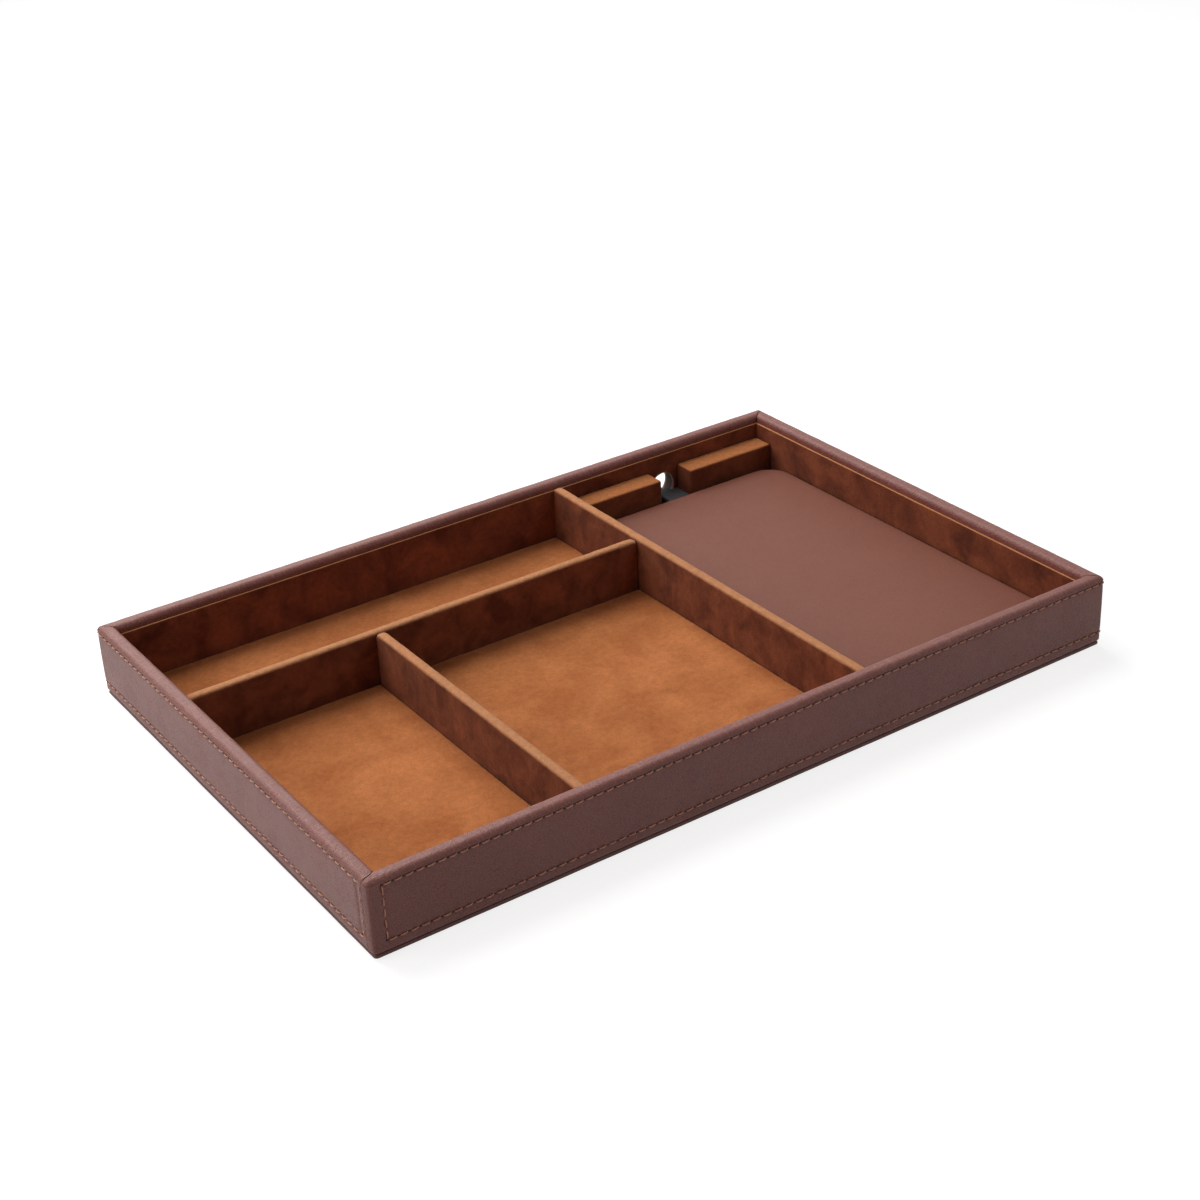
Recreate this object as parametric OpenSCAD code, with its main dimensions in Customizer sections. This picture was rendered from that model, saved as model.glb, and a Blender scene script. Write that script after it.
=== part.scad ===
// Valet tray with four suede-lined bays and a lift-out wireless charging pad
// Origin at the centre of the underside, +X along the long side, +Y to the back, +Z up

/* [Tray] */
// Outside width of the tray
tray_w = 330; // [300:1:380]
// Outside depth of the tray
tray_d = 218; // [200:1:250]
// Height of the rim above the table
tray_h = 31; // [29:0.5:40]
// Radius of the upright outer corners
corner_r = 1.6; // [1.5:0.1:3.5]

/* [Base] */
// Thickness of the felt under the base
felt_t = 0.4; // [0.2:0.1:1]
// How far the felt stays inside the edge of the base
felt_margin = 5; // [2:0.5:12]
// Thickness of the covered base board
base_t = 2; // [1.8:0.1:3]
// How far the base stands back from the walls
base_inset = 0.8; // [0.2:0.1:2]
// Thickness of the cover round the base board
base_cover_t = 0.5; // [0.3:0.1:0.7]
// Radius of the edges of the base
base_r = 0.7; // [0.3:0.1:0.8]
// Width of the cover that is turned in over the base board
base_hem = 12; // [6:1:20]

/* [Walls] */
// Thickness of the board inside each wall
core_t = 4.4; // [3.4:0.1:6]
// Thickness of the leatherette
leather_t = 0.9; // [0.5:0.1:1.2]
// Radius of the rolled rim
rim_r = 2.2; // [1.4:0.1:2.6]
// Radius of the lower outside edge of the leatherette
foot_r = 0.6; // [0.2:0.1:0.8]
// Thickness of the suede-covered lining cards
liner_t = 1; // [0.6:0.1:2]
// How far the lining stops below the rim
liner_drop = 3.4; // [2:0.2:6]

/* [Bays] */
// Clear width of the charging bay
charge_bay_w = 108; // [108:1:120]
// Clear depth of the long bay at the back
back_bay_d = 58.8; // [45:0.2:75]
// Clear width of the left bay at the front
left_bay_w = 78.4; // [60:0.2:110]
// Thickness of a covered divider
divider_t = 4.5; // [3.5:0.1:7]
// Thickness of the suede on a divider
suede_t = 0.6; // [0.3:0.1:0.9]
// Radius of the top edges of a divider
divider_r = 1.6; // [1:0.1:1.7]
// How far the long divider stops below the rim
divider_drop = 2.6; // [1:0.2:6]
// How much lower the cross and short dividers are
cross_step = 0.6; // [0:0.1:2]
// Thickness of the floor pads
floor_t = 3; // [1.6:0.1:4]
// Gap round each floor pad
floor_gap = 0.15; // [0.05:0.05:0.4]
// Radius of the corners of the floor pads
floor_r = 0.8; // [0.4:0.1:1.2]

/* [Ledge and cable way] */
// Depth of the ledge behind the charging pad
ledge_d = 10.8; // [10.4:0.2:11]
// Height of the ledge above the floor pad
ledge_h = 15.7; // [10:0.1:18]
// Radius of the top front edge of the ledge
ledge_r = 1.4; // [0.6:0.1:3]
// Width of the cable way in the ledge
way_w = 16; // [13.5:0.5:24]
// Thickness of the ledge under the cable way
way_floor = 0.7; // [0.4:0.1:0.8]
// Diameter of the cable hole in the back wall
hole_d = 13; // [12.8:0.1:14]

/* [Charging pad] */
// Gap between the pad and each side of its bay
pad_side_gap = 1; // [0.4:0.1:4]
// Thickness of the pad without its feet
pad_t = 6; // [5.9:0.1:7.5]
// Corner radius of the pad
pad_r = 12; // [8:0.5:20]
// Radius of the pad's top edge
pad_edge_r = 1.2; // [0.6:0.1:1.8]
// Thickness of the pad's leatherette
pad_leather_t = 0.8; // [0.5:0.1:1]
// Gap between the pad and the front of its bay
pad_front_gap = 0.5; // [0.3:0.1:2]
// Gap between the pad and the ledge
pad_back_gap = 2.8; // [0.4:0.1:4]
// Thickness of the pad's lower shell
lower_t = 1.2; // [0.8:0.1:1.6]
// Wall of the pad's upper shell
upper_wall = 1.6; // [1:0.1:2.4]
// Top of the pad's upper shell
upper_top = 1; // [0.8:0.1:1.4]
// Height of the lip that locates the lower shell
lip_h = 1.2; // [0.6:0.1:1.6]
// Thickness of the locating lip
lip_t = 1; // [0.6:0.1:2]
// Gap beside the locating lip
lip_gap = 0.15; // [0.05:0.05:0.3]
// Diameter of the pad's rubber feet
foot_d = 12; // [6:1:20]
// Height of the pad's rubber feet
foot_h = 0.5; // [0.3:0.1:0.8]
// Distance from a foot's centre to the pad's edges
foot_in = 16; // [12:1:24]
// Diameter of the indicator's hole
led_d = 2.2; // [1.6:0.1:3]
// Distance of the indicator from the pad's left edge
led_side = 15; // [12:0.5:26]
// Distance of the indicator from the pad's back edge
led_back = 14; // [12:0.5:26]

/* [Charger parts] */
// Outside diameter of the charging coil
coil_od = 50; // [40:1:54]
// Inside diameter of the charging coil
coil_id = 21; // [15:1:28]
// Thickness of the charging coil
coil_t = 1.2; // [0.8:0.1:1.2]
// Side of the ferrite plate
ferrite_w = 54; // [50:1:64]
// Thickness of the ferrite plate
ferrite_t = 0.8; // [0.5:0.1:0.8]
// Height of the seat under the ferrite plate
coil_seat_h = 0.8; // [0.5:0.1:0.8]
// Width of the circuit board
board_w = 36; // [26:1:50]
// Length of the circuit board
board_l = 24; // [18:1:32]
// Thickness of the circuit board
board_t = 1; // [0.8:0.1:1.2]
// Height of the bosses under the circuit board
boss_h = 0.5; // [0.3:0.1:0.8]

/* [USB-C connection] */
// Width of the socket's metal shell
socket_w = 8.94; // [8.9:0.01:9]
// Height of the socket's metal shell
socket_h = 3.26; // [3.2:0.01:3.3]
// Length of the socket
socket_l = 7.4; // [7:0.1:9]
// Sheet thickness of the socket
socket_wall = 0.28; // [0.2:0.01:0.3]
// Width of the plug's metal shell
plug_w = 8.25; // [8.2:0.01:8.3]
// Height of the plug's metal shell
plug_h = 2.4; // [2.35:0.01:2.5]
// Depth of the plug in the socket
plug_in = 6.2; // [5.8:0.1:6.4]
// Sheet thickness of the plug
plug_wall = 0.3; // [0.2:0.05:0.35]
// Width of the plug's grip
grip_w = 12; // [11:0.5:13]
// Height of the plug's grip
grip_h = 5; // [4.6:0.1:5.2]
// Length of the plug's grip
grip_l = 9.6; // [8:0.2:9.8]
// Gap between the grip and the pad
grip_gap = 0.2; // [0.1:0.1:0.6]
// Gap between the plug's collar and the back lining
collar_gap = 0.6; // [0.3:0.1:1]
// Width of the collar behind the grip
collar_w = 7; // [6:0.5:8]
// Height of the collar behind the grip
collar_h = 4.2; // [3.8:0.1:4.4]

/* [Cable] */
// Diameter of the cable
cable_d = 3.2; // [2.8:0.1:3.2]
// Length of a straight run of the folded cable
run_l = 54; // [50:1:60]
// Radius of the innermost fold
fold_r = 9.6; // [9.6:0.1:10]
// Step from one turn of the folded cable to the next
turn_step = 4.2; // [4.1:0.1:4.3]
// Step from the lower layer to the upper one
layer_step = 3.8; // [3.7:0.1:4]
// How far the runs are drawn in at the waist
waist = 5.5; // [2:0.5:6]
// Width of the strap round the folded cable
strap_w = 10; // [6:1:16]
// Thickness of the strap
strap_t = 0.6; // [0.4:0.1:0.6]
// Distance of the folded cable's middle behind the back wall
hank_behind = 20.6; // [20.6:0.1:30]
// Distance of the folded cable's middle to the left of the cable hole
hank_beside = 123.8; // [110:0.1:140]
// Reach of the cable from the folded part to the plug
tail_reach = 38; // [30:1:50]
// Distance that the tail moves away from the wall
tail_step = 8; // [7.6:0.1:10]

/* [USB-A plug] */
// Width of the metal shell
usb_a_w = 12; // [11.9:0.1:12.1]
// Height of the metal shell
usb_a_h = 4.5; // [4.4:0.1:4.6]
// Length of the metal shell outside the grip
usb_a_l = 18.8; // [18:0.1:19.2]
// Sheet thickness of the metal shell
usb_a_wall = 0.3; // [0.2:0.05:0.4]
// Width of the grip
usb_grip_w = 15.4; // [14:0.2:16]
// Height of the grip
usb_grip_h = 7.6; // [7.4:0.1:7.8]
// Length of the grip
usb_grip_l = 26; // [20:1:32]
// Length of the tapered strain relief
usb_relief_l = 11; // [8:1:14]

/* [Hidden] */
$fn = 48;
eps = 0.02;
wall_t = core_t + 2 * leather_t;
lining_t = wall_t + liner_t;
base_z = felt_t + base_t;
floor_z = base_z + floor_t;
liner_z = tray_h - liner_drop;
divider_z = tray_h - divider_drop;
inner_x = tray_w / 2 - lining_t;
inner_y = tray_d / 2 - lining_t;

// Faces of the dividers
long_x1 = inner_x - charge_bay_w;
long_x0 = long_x1 - divider_t;
cross_y1 = inner_y - back_bay_d;
cross_y0 = cross_y1 - divider_t;
short_x0 = -inner_x + left_bay_w;
short_x1 = short_x0 + divider_t;

// Charging bay
bay_x = (long_x1 + inner_x) / 2;
ledge_y0 = inner_y - ledge_d;
ledge_z = floor_z + ledge_h;
pad_y0 = -inner_y + pad_front_gap;
pad_y1 = ledge_y0 - pad_back_gap;
pad_w = charge_bay_w - 2 * pad_side_gap;
pad_l = pad_y1 - pad_y0;
pad_yc = (pad_y0 + pad_y1) / 2;
pad_z0 = floor_z + foot_h;
pad_z1 = pad_z0 + pad_t;
split_z = pad_z0 + lower_t;
shell_z1 = pad_z1 - pad_leather_t;
ceiling_z = shell_z1 - upper_top;
port_z = pad_z0 + 3;
hole_z = floor_z + hole_d / 2 + 0.1;
port_gap = 0.15;
led_x = bay_x - pad_w / 2 + led_side;
led_y = pad_y1 - led_back;
ferrite_z = split_z + coil_seat_h;
coil_z = ferrite_z + ferrite_t;
board_z = split_z + boss_h;
socket_y1 = pad_y1 - pad_leather_t;
socket_y0 = socket_y1 - socket_l;
board_y1 = socket_y1 - upper_wall - lip_t - 2 * lip_gap;
board_y0 = board_y1 - board_l;
boss_d = 4;
boss_in = 3;

// Cable plug in the pad
grip_y0 = pad_y1 + grip_gap;
grip_y1 = grip_y0 + grip_l;
collar_y1 = inner_y - collar_gap;
collar_l = collar_y1 - grip_y1;

// Folded cable behind the tray
cable_r = cable_d / 2;
cable_n = 8;
hank_n = 6;
turns = 4.25;
run_share = 0.25;
climb = run_share;
turns_in = (turns - climb) / 2;
outer_fold_r = fold_r + turn_step * turns_in;
wall_y = tray_d / 2;
hank_x = bay_x - hank_beside;
hank_y = wall_y + hank_behind;
hank_z = strap_t + cable_r + 0.02;
rings_a_turn = 24;
hank_steps = turns * rings_a_turn;
lead_x1 = hank_x + run_l / 2 + cable_d;
lead_y1 = hank_y - outer_fold_r;
usb_z = usb_grip_h / 2;
tail_x0 = hank_x - run_l / 2 - cable_d;
tail_x1 = tail_x0 - tail_reach;
tail_y1 = lead_y1 + tail_step;
usb_grip_x1 = tail_x1 - usb_relief_l;
usb_grip_x0 = usb_grip_x1 - usb_grip_l;

// Colours
leather = "#6b453f";
suede = "#b06a3d";
board = "#b09a7c";
black = "#2a2a2b";

// Shared shapes

// A rectangle with round corners, about the origin
module round_rect(w, d, r) {
    square([w - 2 * r, d], center = true);
    square([w, d - 2 * r], center = true);
    for (x = [-1, 1], y = [-1, 1])
        translate([x * (w / 2 - r), y * (d / 2 - r)])
            circle(r);
}

// A block with round upright corners and a round top edge, from z = 0 up
module soft_block(w, d, h, corner, edge) {
    linear_extrude(h - edge) round_rect(w, d, corner);
    translate([0, 0, h - 2 * edge]) {
        translate([0, 0, edge]) linear_extrude(edge) round_rect(w - 2 * edge, d - 2 * edge, corner - edge);
        for (s = [-1, 1]) {
            translate([0, s * (d / 2 - edge), edge])
                rotate([0, 90, 0]) cylinder(r = edge, h = w - 2 * corner, center = true);
            translate([s * (w / 2 - edge), 0, edge])
                rotate([90, 0, 0]) cylinder(r = edge, h = d - 2 * corner, center = true);
        }
        for (x = [-1, 1], y = [-1, 1])
            translate([x * (w / 2 - corner), y * (d / 2 - corner), edge])
                rotate_extrude() intersection() {
                    translate([corner - edge, 0]) circle(edge);
                    square([corner, edge]);
                }
    }
}

// A flat panel whose edges are round above and below, from z = 0 to z = t
module soft_panel(w, d, t, corner, edge) {
    translate([0, 0, t / 2]) {
        soft_block(w, d, t / 2, corner, edge);
        mirror([0, 0, 1]) soft_block(w, d, t / 2, corner, edge);
    }
}

// An upright section with a round top, from x = 0 to x = t and y = 0 to y = h
module tombstone(t, h, r) {
    square([t, h - r]);
    translate([r, 0]) square([t - 2 * r, h]);
    for (x = [r, t - r]) translate([x, h - r]) circle(r);
}

// A tombstone whose outer lower edge is round as well
module wall_section(t, h, r, foot) {
    difference() {
        tombstone(t, h, r);
        square([foot, foot]);
    }
    translate([foot, foot]) circle(foot);
}

// Stretches a wall section along the front, mitred at both corners
module front_bar() {
    intersection() {
        translate([-tray_w / 2, -tray_d / 2, base_z])
            rotate([90, 0, 90]) linear_extrude(tray_w) children();
        linear_extrude(tray_h + 1) polygon([
            [-tray_w / 2, -tray_d / 2], [tray_w / 2, -tray_d / 2],
            [tray_w / 2 - 2 * wall_t, -tray_d / 2 + 2 * wall_t],
            [-tray_w / 2 + 2 * wall_t, -tray_d / 2 + 2 * wall_t]
        ]);
    }
}

// Stretches a wall section along the left side, mitred at both corners
module left_bar() {
    intersection() {
        translate([-tray_w / 2, tray_d / 2, base_z])
            rotate([90, 0, 0]) linear_extrude(tray_d) children();
        linear_extrude(tray_h + 1) polygon([
            [-tray_w / 2, -tray_d / 2], [-tray_w / 2 + 2 * wall_t, -tray_d / 2 + 2 * wall_t],
            [-tray_w / 2 + 2 * wall_t, tray_d / 2 - 2 * wall_t], [-tray_w / 2, tray_d / 2]
        ]);
    }
}

// Keeps what lies inside the tray's outline, moved in by a distance
module within_outline(inward) {
    intersection() {
        children();
        linear_extrude(tray_h + 1)
            round_rect(tray_w - 2 * inward, tray_d - 2 * inward, corner_r - inward);
    }
}

module leather_section() {
    difference() {
        wall_section(wall_t, tray_h - base_z, rim_r, foot_r);
        translate([leather_t, -eps])
            tombstone(core_t, tray_h - base_z - leather_t + eps, rim_r - leather_t);
    }
}

module board_section() {
    translate([leather_t, 0]) tombstone(core_t, tray_h - base_z - leather_t, rim_r - leather_t);
}

module cable_hole() {
    translate([bay_x, inner_y - eps, hole_z])
        rotate([-90, 0, 0]) cylinder(d = hole_d, h = lining_t + 2 * eps);
}

// Base

module base_felt() {
    color("#3a302c")
        linear_extrude(felt_t) round_rect(
            tray_w - 2 * (base_inset + felt_margin),
            tray_d - 2 * (base_inset + felt_margin), corner_r
        );
}

module base_cover() {
    cover_w = tray_w - 2 * base_inset;
    cover_d = tray_d - 2 * base_inset;
    color(leather) difference() {
        translate([0, 0, felt_t]) soft_panel(cover_w, cover_d, base_t, corner_r, base_r);
        base_board_solid();
    }
}

module base_board_solid() {
    edge = base_inset + base_cover_t;
    translate([0, 0, felt_t + base_cover_t])
        linear_extrude(base_t - 2 * base_cover_t)
            round_rect(tray_w - 2 * edge, tray_d - 2 * edge, corner_r - base_cover_t);
    translate([0, 0, felt_t + base_cover_t])
        linear_extrude(base_t - base_cover_t)
            round_rect(tray_w - 2 * (edge + base_hem), tray_d - 2 * (edge + base_hem), corner_r);
}

module base_board() {
    color(board) base_board_solid();
}

// Walls

module wall_board_front() {
    color(board) within_outline(leather_t) front_bar() board_section();
}

module wall_board_back() {
    color(board) difference() {
        within_outline(leather_t) rotate(180) front_bar() board_section();
        cable_hole();
    }
}

module wall_board_left() {
    color(board) within_outline(leather_t) left_bar() board_section();
}

module wall_board_right() {
    color(board) within_outline(leather_t) rotate(180) left_bar() board_section();
}

module leather_front_right() {
    color(leather) within_outline(0) {
        front_bar() leather_section();
        rotate(180) left_bar() leather_section();
    }
}

module leather_left_back() {
    color(leather) difference() {
        within_outline(0) {
            left_bar() leather_section();
            rotate(180) front_bar() leather_section();
        }
        cable_hole();
    }
}

// Lining

module liner_long(side) {
    y = side > 0 ? inner_y : -inner_y - liner_t;
    translate([-inner_x - liner_t, y, base_z])
        cube([2 * (inner_x + liner_t), liner_t, liner_z - base_z]);
}

module liner_short(side) {
    x = side > 0 ? inner_x : -inner_x - liner_t;
    translate([x, -inner_y, base_z]) cube([liner_t, 2 * inner_y, liner_z - base_z]);
}

module liner_front() {
    color(suede) liner_long(-1);
}

module liner_back() {
    color(suede) difference() {
        liner_long(1);
        cable_hole();
    }
}

module liner_left() {
    color(suede) liner_short(-1);
}

module liner_right() {
    color(suede) liner_short(1);
}

// Dividers

module divider_suede_section(h) {
    difference() {
        tombstone(divider_t, h, divider_r);
        translate([suede_t, -eps])
            tombstone(divider_t - 2 * suede_t, h - suede_t + eps, divider_r - suede_t);
    }
}

module divider_board_section(h) {
    translate([suede_t, 0])
        tombstone(divider_t - 2 * suede_t, h - suede_t, divider_r - suede_t);
}

module along_y(x0, y0, y1) {
    translate([x0, y1, base_z]) rotate([90, 0, 0]) linear_extrude(y1 - y0) children();
}

module along_x(y0, x0, x1) {
    translate([x0, y0, base_z]) rotate([90, 0, 90]) linear_extrude(x1 - x0) children();
}

long_h = divider_z - base_z;
cross_h = long_h - cross_step;

module divider_board_long() {
    color(board) along_y(long_x0, -inner_y, inner_y) divider_board_section(long_h);
}

module divider_suede_long() {
    color(suede) along_y(long_x0, -inner_y, inner_y) divider_suede_section(long_h);
}

module divider_board_cross() {
    color(board) along_x(cross_y0, -inner_x, long_x0) divider_board_section(cross_h);
}

module divider_suede_cross() {
    color(suede) along_x(cross_y0, -inner_x, long_x0) divider_suede_section(cross_h);
}

module divider_board_short() {
    color(board) along_y(short_x0, -inner_y, cross_y0) divider_board_section(cross_h);
}

module divider_suede_short() {
    color(suede) along_y(short_x0, -inner_y, cross_y0) divider_suede_section(cross_h);
}

// Floor pads and ledge

module floor_pad(x0, x1, y0, y1) {
    color(suede) translate([(x0 + x1) / 2, (y0 + y1) / 2, base_z])
        linear_extrude(floor_t) round_rect(x1 - x0 - 2 * floor_gap, y1 - y0 - 2 * floor_gap, floor_r);
}

module floor_pad_back() {
    floor_pad(-inner_x, long_x0, cross_y1, inner_y);
}

module floor_pad_left() {
    floor_pad(-inner_x, short_x0, -inner_y, cross_y0);
}

module floor_pad_middle() {
    floor_pad(short_x1, long_x0, -inner_y, cross_y0);
}

module floor_pad_charger() {
    floor_pad(long_x1, inner_x, -inner_y, inner_y);
}

module charger_ledge() {
    color(suede) difference() {
        translate([long_x1 + floor_gap, ledge_y0, floor_z])
            rotate([90, 0, 90]) linear_extrude(charge_bay_w - 2 * floor_gap) {
                translate([ledge_r, 0]) square([ledge_d - ledge_r, ledge_h]);
                square([ledge_d, ledge_h - ledge_r]);
                translate([ledge_r, ledge_h - ledge_r]) circle(ledge_r);
            }
        translate([bay_x - way_w / 2, ledge_y0 - 1, floor_z + way_floor])
            cube([way_w, ledge_d + 2, ledge_h]);
    }
}

// Charging pad

// Flat-sided outline with round ends, as on a USB-C plug, stretched along +Y
module pill(w, h, l) {
    rotate([-90, 0, 0]) linear_extrude(l) {
        square([w - h, h], center = true);
        for (s = [-1, 1]) translate([s * (w - h) / 2, 0]) circle(d = h);
    }
}

// The slot in the back edge of the pad for the socket
module port_cut(gap) {
    translate([bay_x, socket_y1 - upper_wall - lip_t - 1, port_z])
        pill(socket_w + 2 * gap, socket_h + 2 * gap, upper_wall + lip_t + 4);
}

module led_cut(d) {
    translate([led_x, led_y, ceiling_z - 1]) cylinder(d = d, h = pad_z1 - ceiling_z + 2);
}

module pad_leather() {
    color(leather) difference() {
        translate([bay_x, pad_yc, split_z])
            soft_block(pad_w, pad_l, pad_z1 - split_z, pad_r, pad_edge_r);
        translate([bay_x, pad_yc, split_z - 1]) linear_extrude(shell_z1 - split_z + 1)
            round_rect(pad_w - 2 * pad_leather_t, pad_l - 2 * pad_leather_t, pad_r - pad_leather_t);
        port_cut(3 * port_gap);
        led_cut(led_d);
    }
}

module pad_upper_shell() {
    edge = pad_leather_t;
    color("#3b2a25") difference() {
        translate([bay_x, pad_yc, split_z]) linear_extrude(shell_z1 - split_z)
            round_rect(pad_w - 2 * edge, pad_l - 2 * edge, pad_r - edge);
        translate([bay_x, pad_yc, split_z - 1]) linear_extrude(ceiling_z - split_z + 1)
            round_rect(
                pad_w - 2 * (edge + upper_wall), pad_l - 2 * (edge + upper_wall),
                pad_r - edge - upper_wall
            );
        port_cut(port_gap);
        translate([bay_x, socket_y0 - 0.5, port_z])
            pill(socket_w + 2 * port_gap, socket_h + 2 * port_gap, socket_l + 1);
        led_cut(led_d - 0.2);
    }
}

module pad_lower_shell() {
    edge = pad_leather_t;
    lip_edge = edge + upper_wall + lip_gap;
    color("#2e2522") {
        translate([bay_x, pad_yc, pad_z0]) linear_extrude(lower_t)
            round_rect(pad_w - 2 * edge, pad_l - 2 * edge, pad_r - edge);
        difference() {
            translate([bay_x, pad_yc, split_z - eps]) linear_extrude(lip_h + eps) difference() {
                round_rect(pad_w - 2 * lip_edge, pad_l - 2 * lip_edge, pad_r - lip_edge);
                round_rect(
                    pad_w - 2 * (lip_edge + lip_t), pad_l - 2 * (lip_edge + lip_t),
                    pad_r - lip_edge - lip_t
                );
            }
            port_cut(2 * port_gap);
        }
        translate([bay_x, pad_yc, split_z - eps]) cylinder(d = coil_od + 4, h = coil_seat_h + eps);
        for (s = [-1, 1], y = [board_y0 + boss_in, board_y1 - boss_in])
            translate([bay_x + s * (board_w / 2 - boss_in), y, split_z - eps])
                cylinder(d = boss_d, h = boss_h + eps);
    }
}

module pad_feet() {
    color("#222222") for (x = [-1, 1], y = [-1, 1])
        translate([bay_x + x * (pad_w / 2 - foot_in), pad_yc + y * (pad_l / 2 - foot_in), floor_z])
            cylinder(d = foot_d, h = foot_h);
}

module ferrite_plate() {
    color("#3c3c40") translate([bay_x, pad_yc, ferrite_z])
        linear_extrude(ferrite_t) round_rect(ferrite_w, ferrite_w, 3);
}

// Flat spiral winding, drawn as its ring with the grooves between the turns
module charging_coil() {
    pitch = 1.3;
    groove = 0.25;
    color("#b87333") translate([bay_x, pad_yc, coil_z]) rotate_extrude() difference() {
        translate([coil_id / 2, 0]) square([(coil_od - coil_id) / 2, coil_t]);
        for (r = [coil_id / 2 + pitch : pitch : coil_od / 2 - 1])
            translate([r - groove / 2, coil_t - 0.4]) square([groove, 1]);
    }
}

module circuit_board() {
    slot_w = socket_w + 2 * port_gap;
    color("#1f5a3a") difference() {
        translate([bay_x - board_w / 2, board_y0, board_z]) cube([board_w, board_l, board_t]);
        translate([bay_x - slot_w / 2, socket_y0 - port_gap, board_z - 1]) cube([slot_w, board_l, board_t + 2]);
    }
    chip_z = board_z + board_t - eps;
    chip_w = board_w / 7;
    chip_t = 0.9;
    color("#1a1a1a") translate([bay_x, (board_y0 + socket_y0) / 2, chip_z]) {
        translate([-0.36 * board_w, -chip_w / 2, 0]) cube([chip_w, chip_w, chip_t]);
        translate([-chip_w / 2, -chip_w / 2, 0]) cube([chip_w, chip_w, chip_t]);
        translate([0.22 * board_w, -chip_w / 2, 0]) cube([chip_w, 1.2 * chip_w, chip_t]);
    }
}

module status_led() {
    flange_t = 0.6;
    color("#dfe8e4") translate([led_x, led_y, ceiling_z - flange_t]) {
        cylinder(d = led_d + 1.2, h = flange_t);
        cylinder(d = led_d - 0.4, h = pad_z1 - ceiling_z + flange_t - 0.4);
    }
}

// USB-C connection

module usb_c_socket() {
    tongue_w = 6.6;
    tongue_h = 0.7;
    back = 1;
    color("#b9bcc0") difference() {
        translate([bay_x, socket_y0, port_z]) pill(socket_w, socket_h, socket_l);
        translate([bay_x, socket_y0 + back, port_z])
            pill(socket_w - 2 * socket_wall, socket_h - 2 * socket_wall, socket_l);
    }
    for (s = [-1, 1])
        color("#b9bcc0") translate([bay_x + s * socket_w / 2 - (s > 0 ? 0.1 : 1.3), socket_y0 + 1.4, board_z + board_t])
            cube([1.4, 1.6, 0.5]);
    color("#202020") translate([bay_x - tongue_w / 2, socket_y0 + back - eps, port_z - tongue_h / 2])
        cube([tongue_w, 4.6, tongue_h]);
}

module usb_c_shell() {
    color("#c4c7cb") difference() {
        translate([bay_x, socket_y1 - plug_in, port_z])
            pill(plug_w, plug_h, grip_y0 - socket_y1 + plug_in);
        translate([bay_x, socket_y1 - plug_in - 1, port_z])
            pill(plug_w - 2 * plug_wall, plug_h - 2 * plug_wall, plug_in + 0.4);
    }
}

// A block along Y with round edges, about its middle line
module grip_block(w, h, l, r) {
    rotate([-90, 0, 0]) linear_extrude(l) round_rect(w, h, r);
}

module usb_c_grip() {
    color(black) translate([bay_x, grip_y0, port_z]) grip_block(grip_w, grip_h, grip_l, 1.6);
}

module usb_c_relief() {
    color(black) translate([bay_x, grip_y1, port_z]) grip_block(collar_w, collar_h, collar_l, 1.6);
}

// Cable

// The lead from the plug, through the back wall, down to the table and along it
lead_points = [
    [bay_x, collar_y1, port_z],
    [bay_x, collar_y1 + 4, port_z],
    [bay_x, wall_y + 1, port_z - 0.1],
    [bay_x - 0.1, wall_y + 5, 8.3],
    [bay_x - 0.9, wall_y + 9, 7],
    [bay_x - 4.2, wall_y + 13, 5.2],
    [bay_x - 9.8, wall_y + 15.4, 3.4],
    [bay_x - 16.8, wall_y + 15.6, 2.2],
    [bay_x - 25, wall_y + 14.4, 1.7],
    [bay_x - 34, wall_y + 12.4, 1.6],
    [bay_x - 44, wall_y + 10, 1.6],
    [bay_x - 54, wall_y + 7.6, 1.6],
    [bay_x - 64, wall_y + 5.4, 1.7],
    [bay_x - 74, wall_y + 3.6, 1.9],
    [bay_x - 84, wall_y + 2.7, 2.1],
    [lead_x1 + 4, lead_y1, hank_z],
    [lead_x1, lead_y1, hank_z]
];

// The tail from the folded cable to the plug beside it
tail_points = [
    [tail_x0, lead_y1, hank_z + layer_step],
    [tail_x0 - 4, lead_y1, hank_z + layer_step],
    [tail_x0 - 0.28 * tail_reach, lead_y1 + 0.12 * tail_step, hank_z + 0.9 * layer_step],
    [tail_x0 - 0.42 * tail_reach, lead_y1 + 0.35 * tail_step, hank_z + 0.72 * layer_step],
    [tail_x0 - 0.58 * tail_reach, lead_y1 + 0.65 * tail_step, hank_z + 0.55 * layer_step],
    [tail_x0 - 0.74 * tail_reach, lead_y1 + 0.89 * tail_step, hank_z + 0.45 * layer_step],
    [tail_x1 + 4, tail_y1, usb_z],
    [tail_x1, tail_y1, usb_z]
];

function turn_radius(t) =
    t < turns_in ? outer_fold_r - turn_step * t :
    t < turns_in + climb ? fold_r :
    fold_r + turn_step * (t - turns_in - climb);

function turn_level(t) =
    let (u = min(1, max(0, (t - turns_in) / climb)))
    hank_z + layer_step * (1 - cos(180 * u)) / 2;

function drawn_in(x) = waist * (1 + cos(360 * x / run_l)) / 2;

// A point on the folded cable after t turns
function hank_point(t) =
    let (
        f = t - floor(t),
        r = turn_radius(t),
        half = run_l / 2,
        u = (f % 0.5) / 0.5,
        on_run = f % 0.5 < run_share,
        side = f < 0.5 ? -1 : 1,
        along = half - run_l * (f % 0.5) / run_share,
        a = 180 * ((f % 0.5) - run_share) / (0.5 - run_share),
        x = on_run ? -side * along : side * (half + r * sin(a)),
        y = on_run ? side * (r - drawn_in(along)) : side * r * cos(a)
    )
    [hank_x + x, hank_y + y, turn_level(t)];

hank_points = [
    hank_point(0) + [cable_d, 0, 0],
    for (i = [0 : hank_steps]) hank_point(i / rings_a_turn),
    hank_point(turns) - [cable_d, 0, 0]
];

function unit(v) = v / norm(v);

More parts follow.
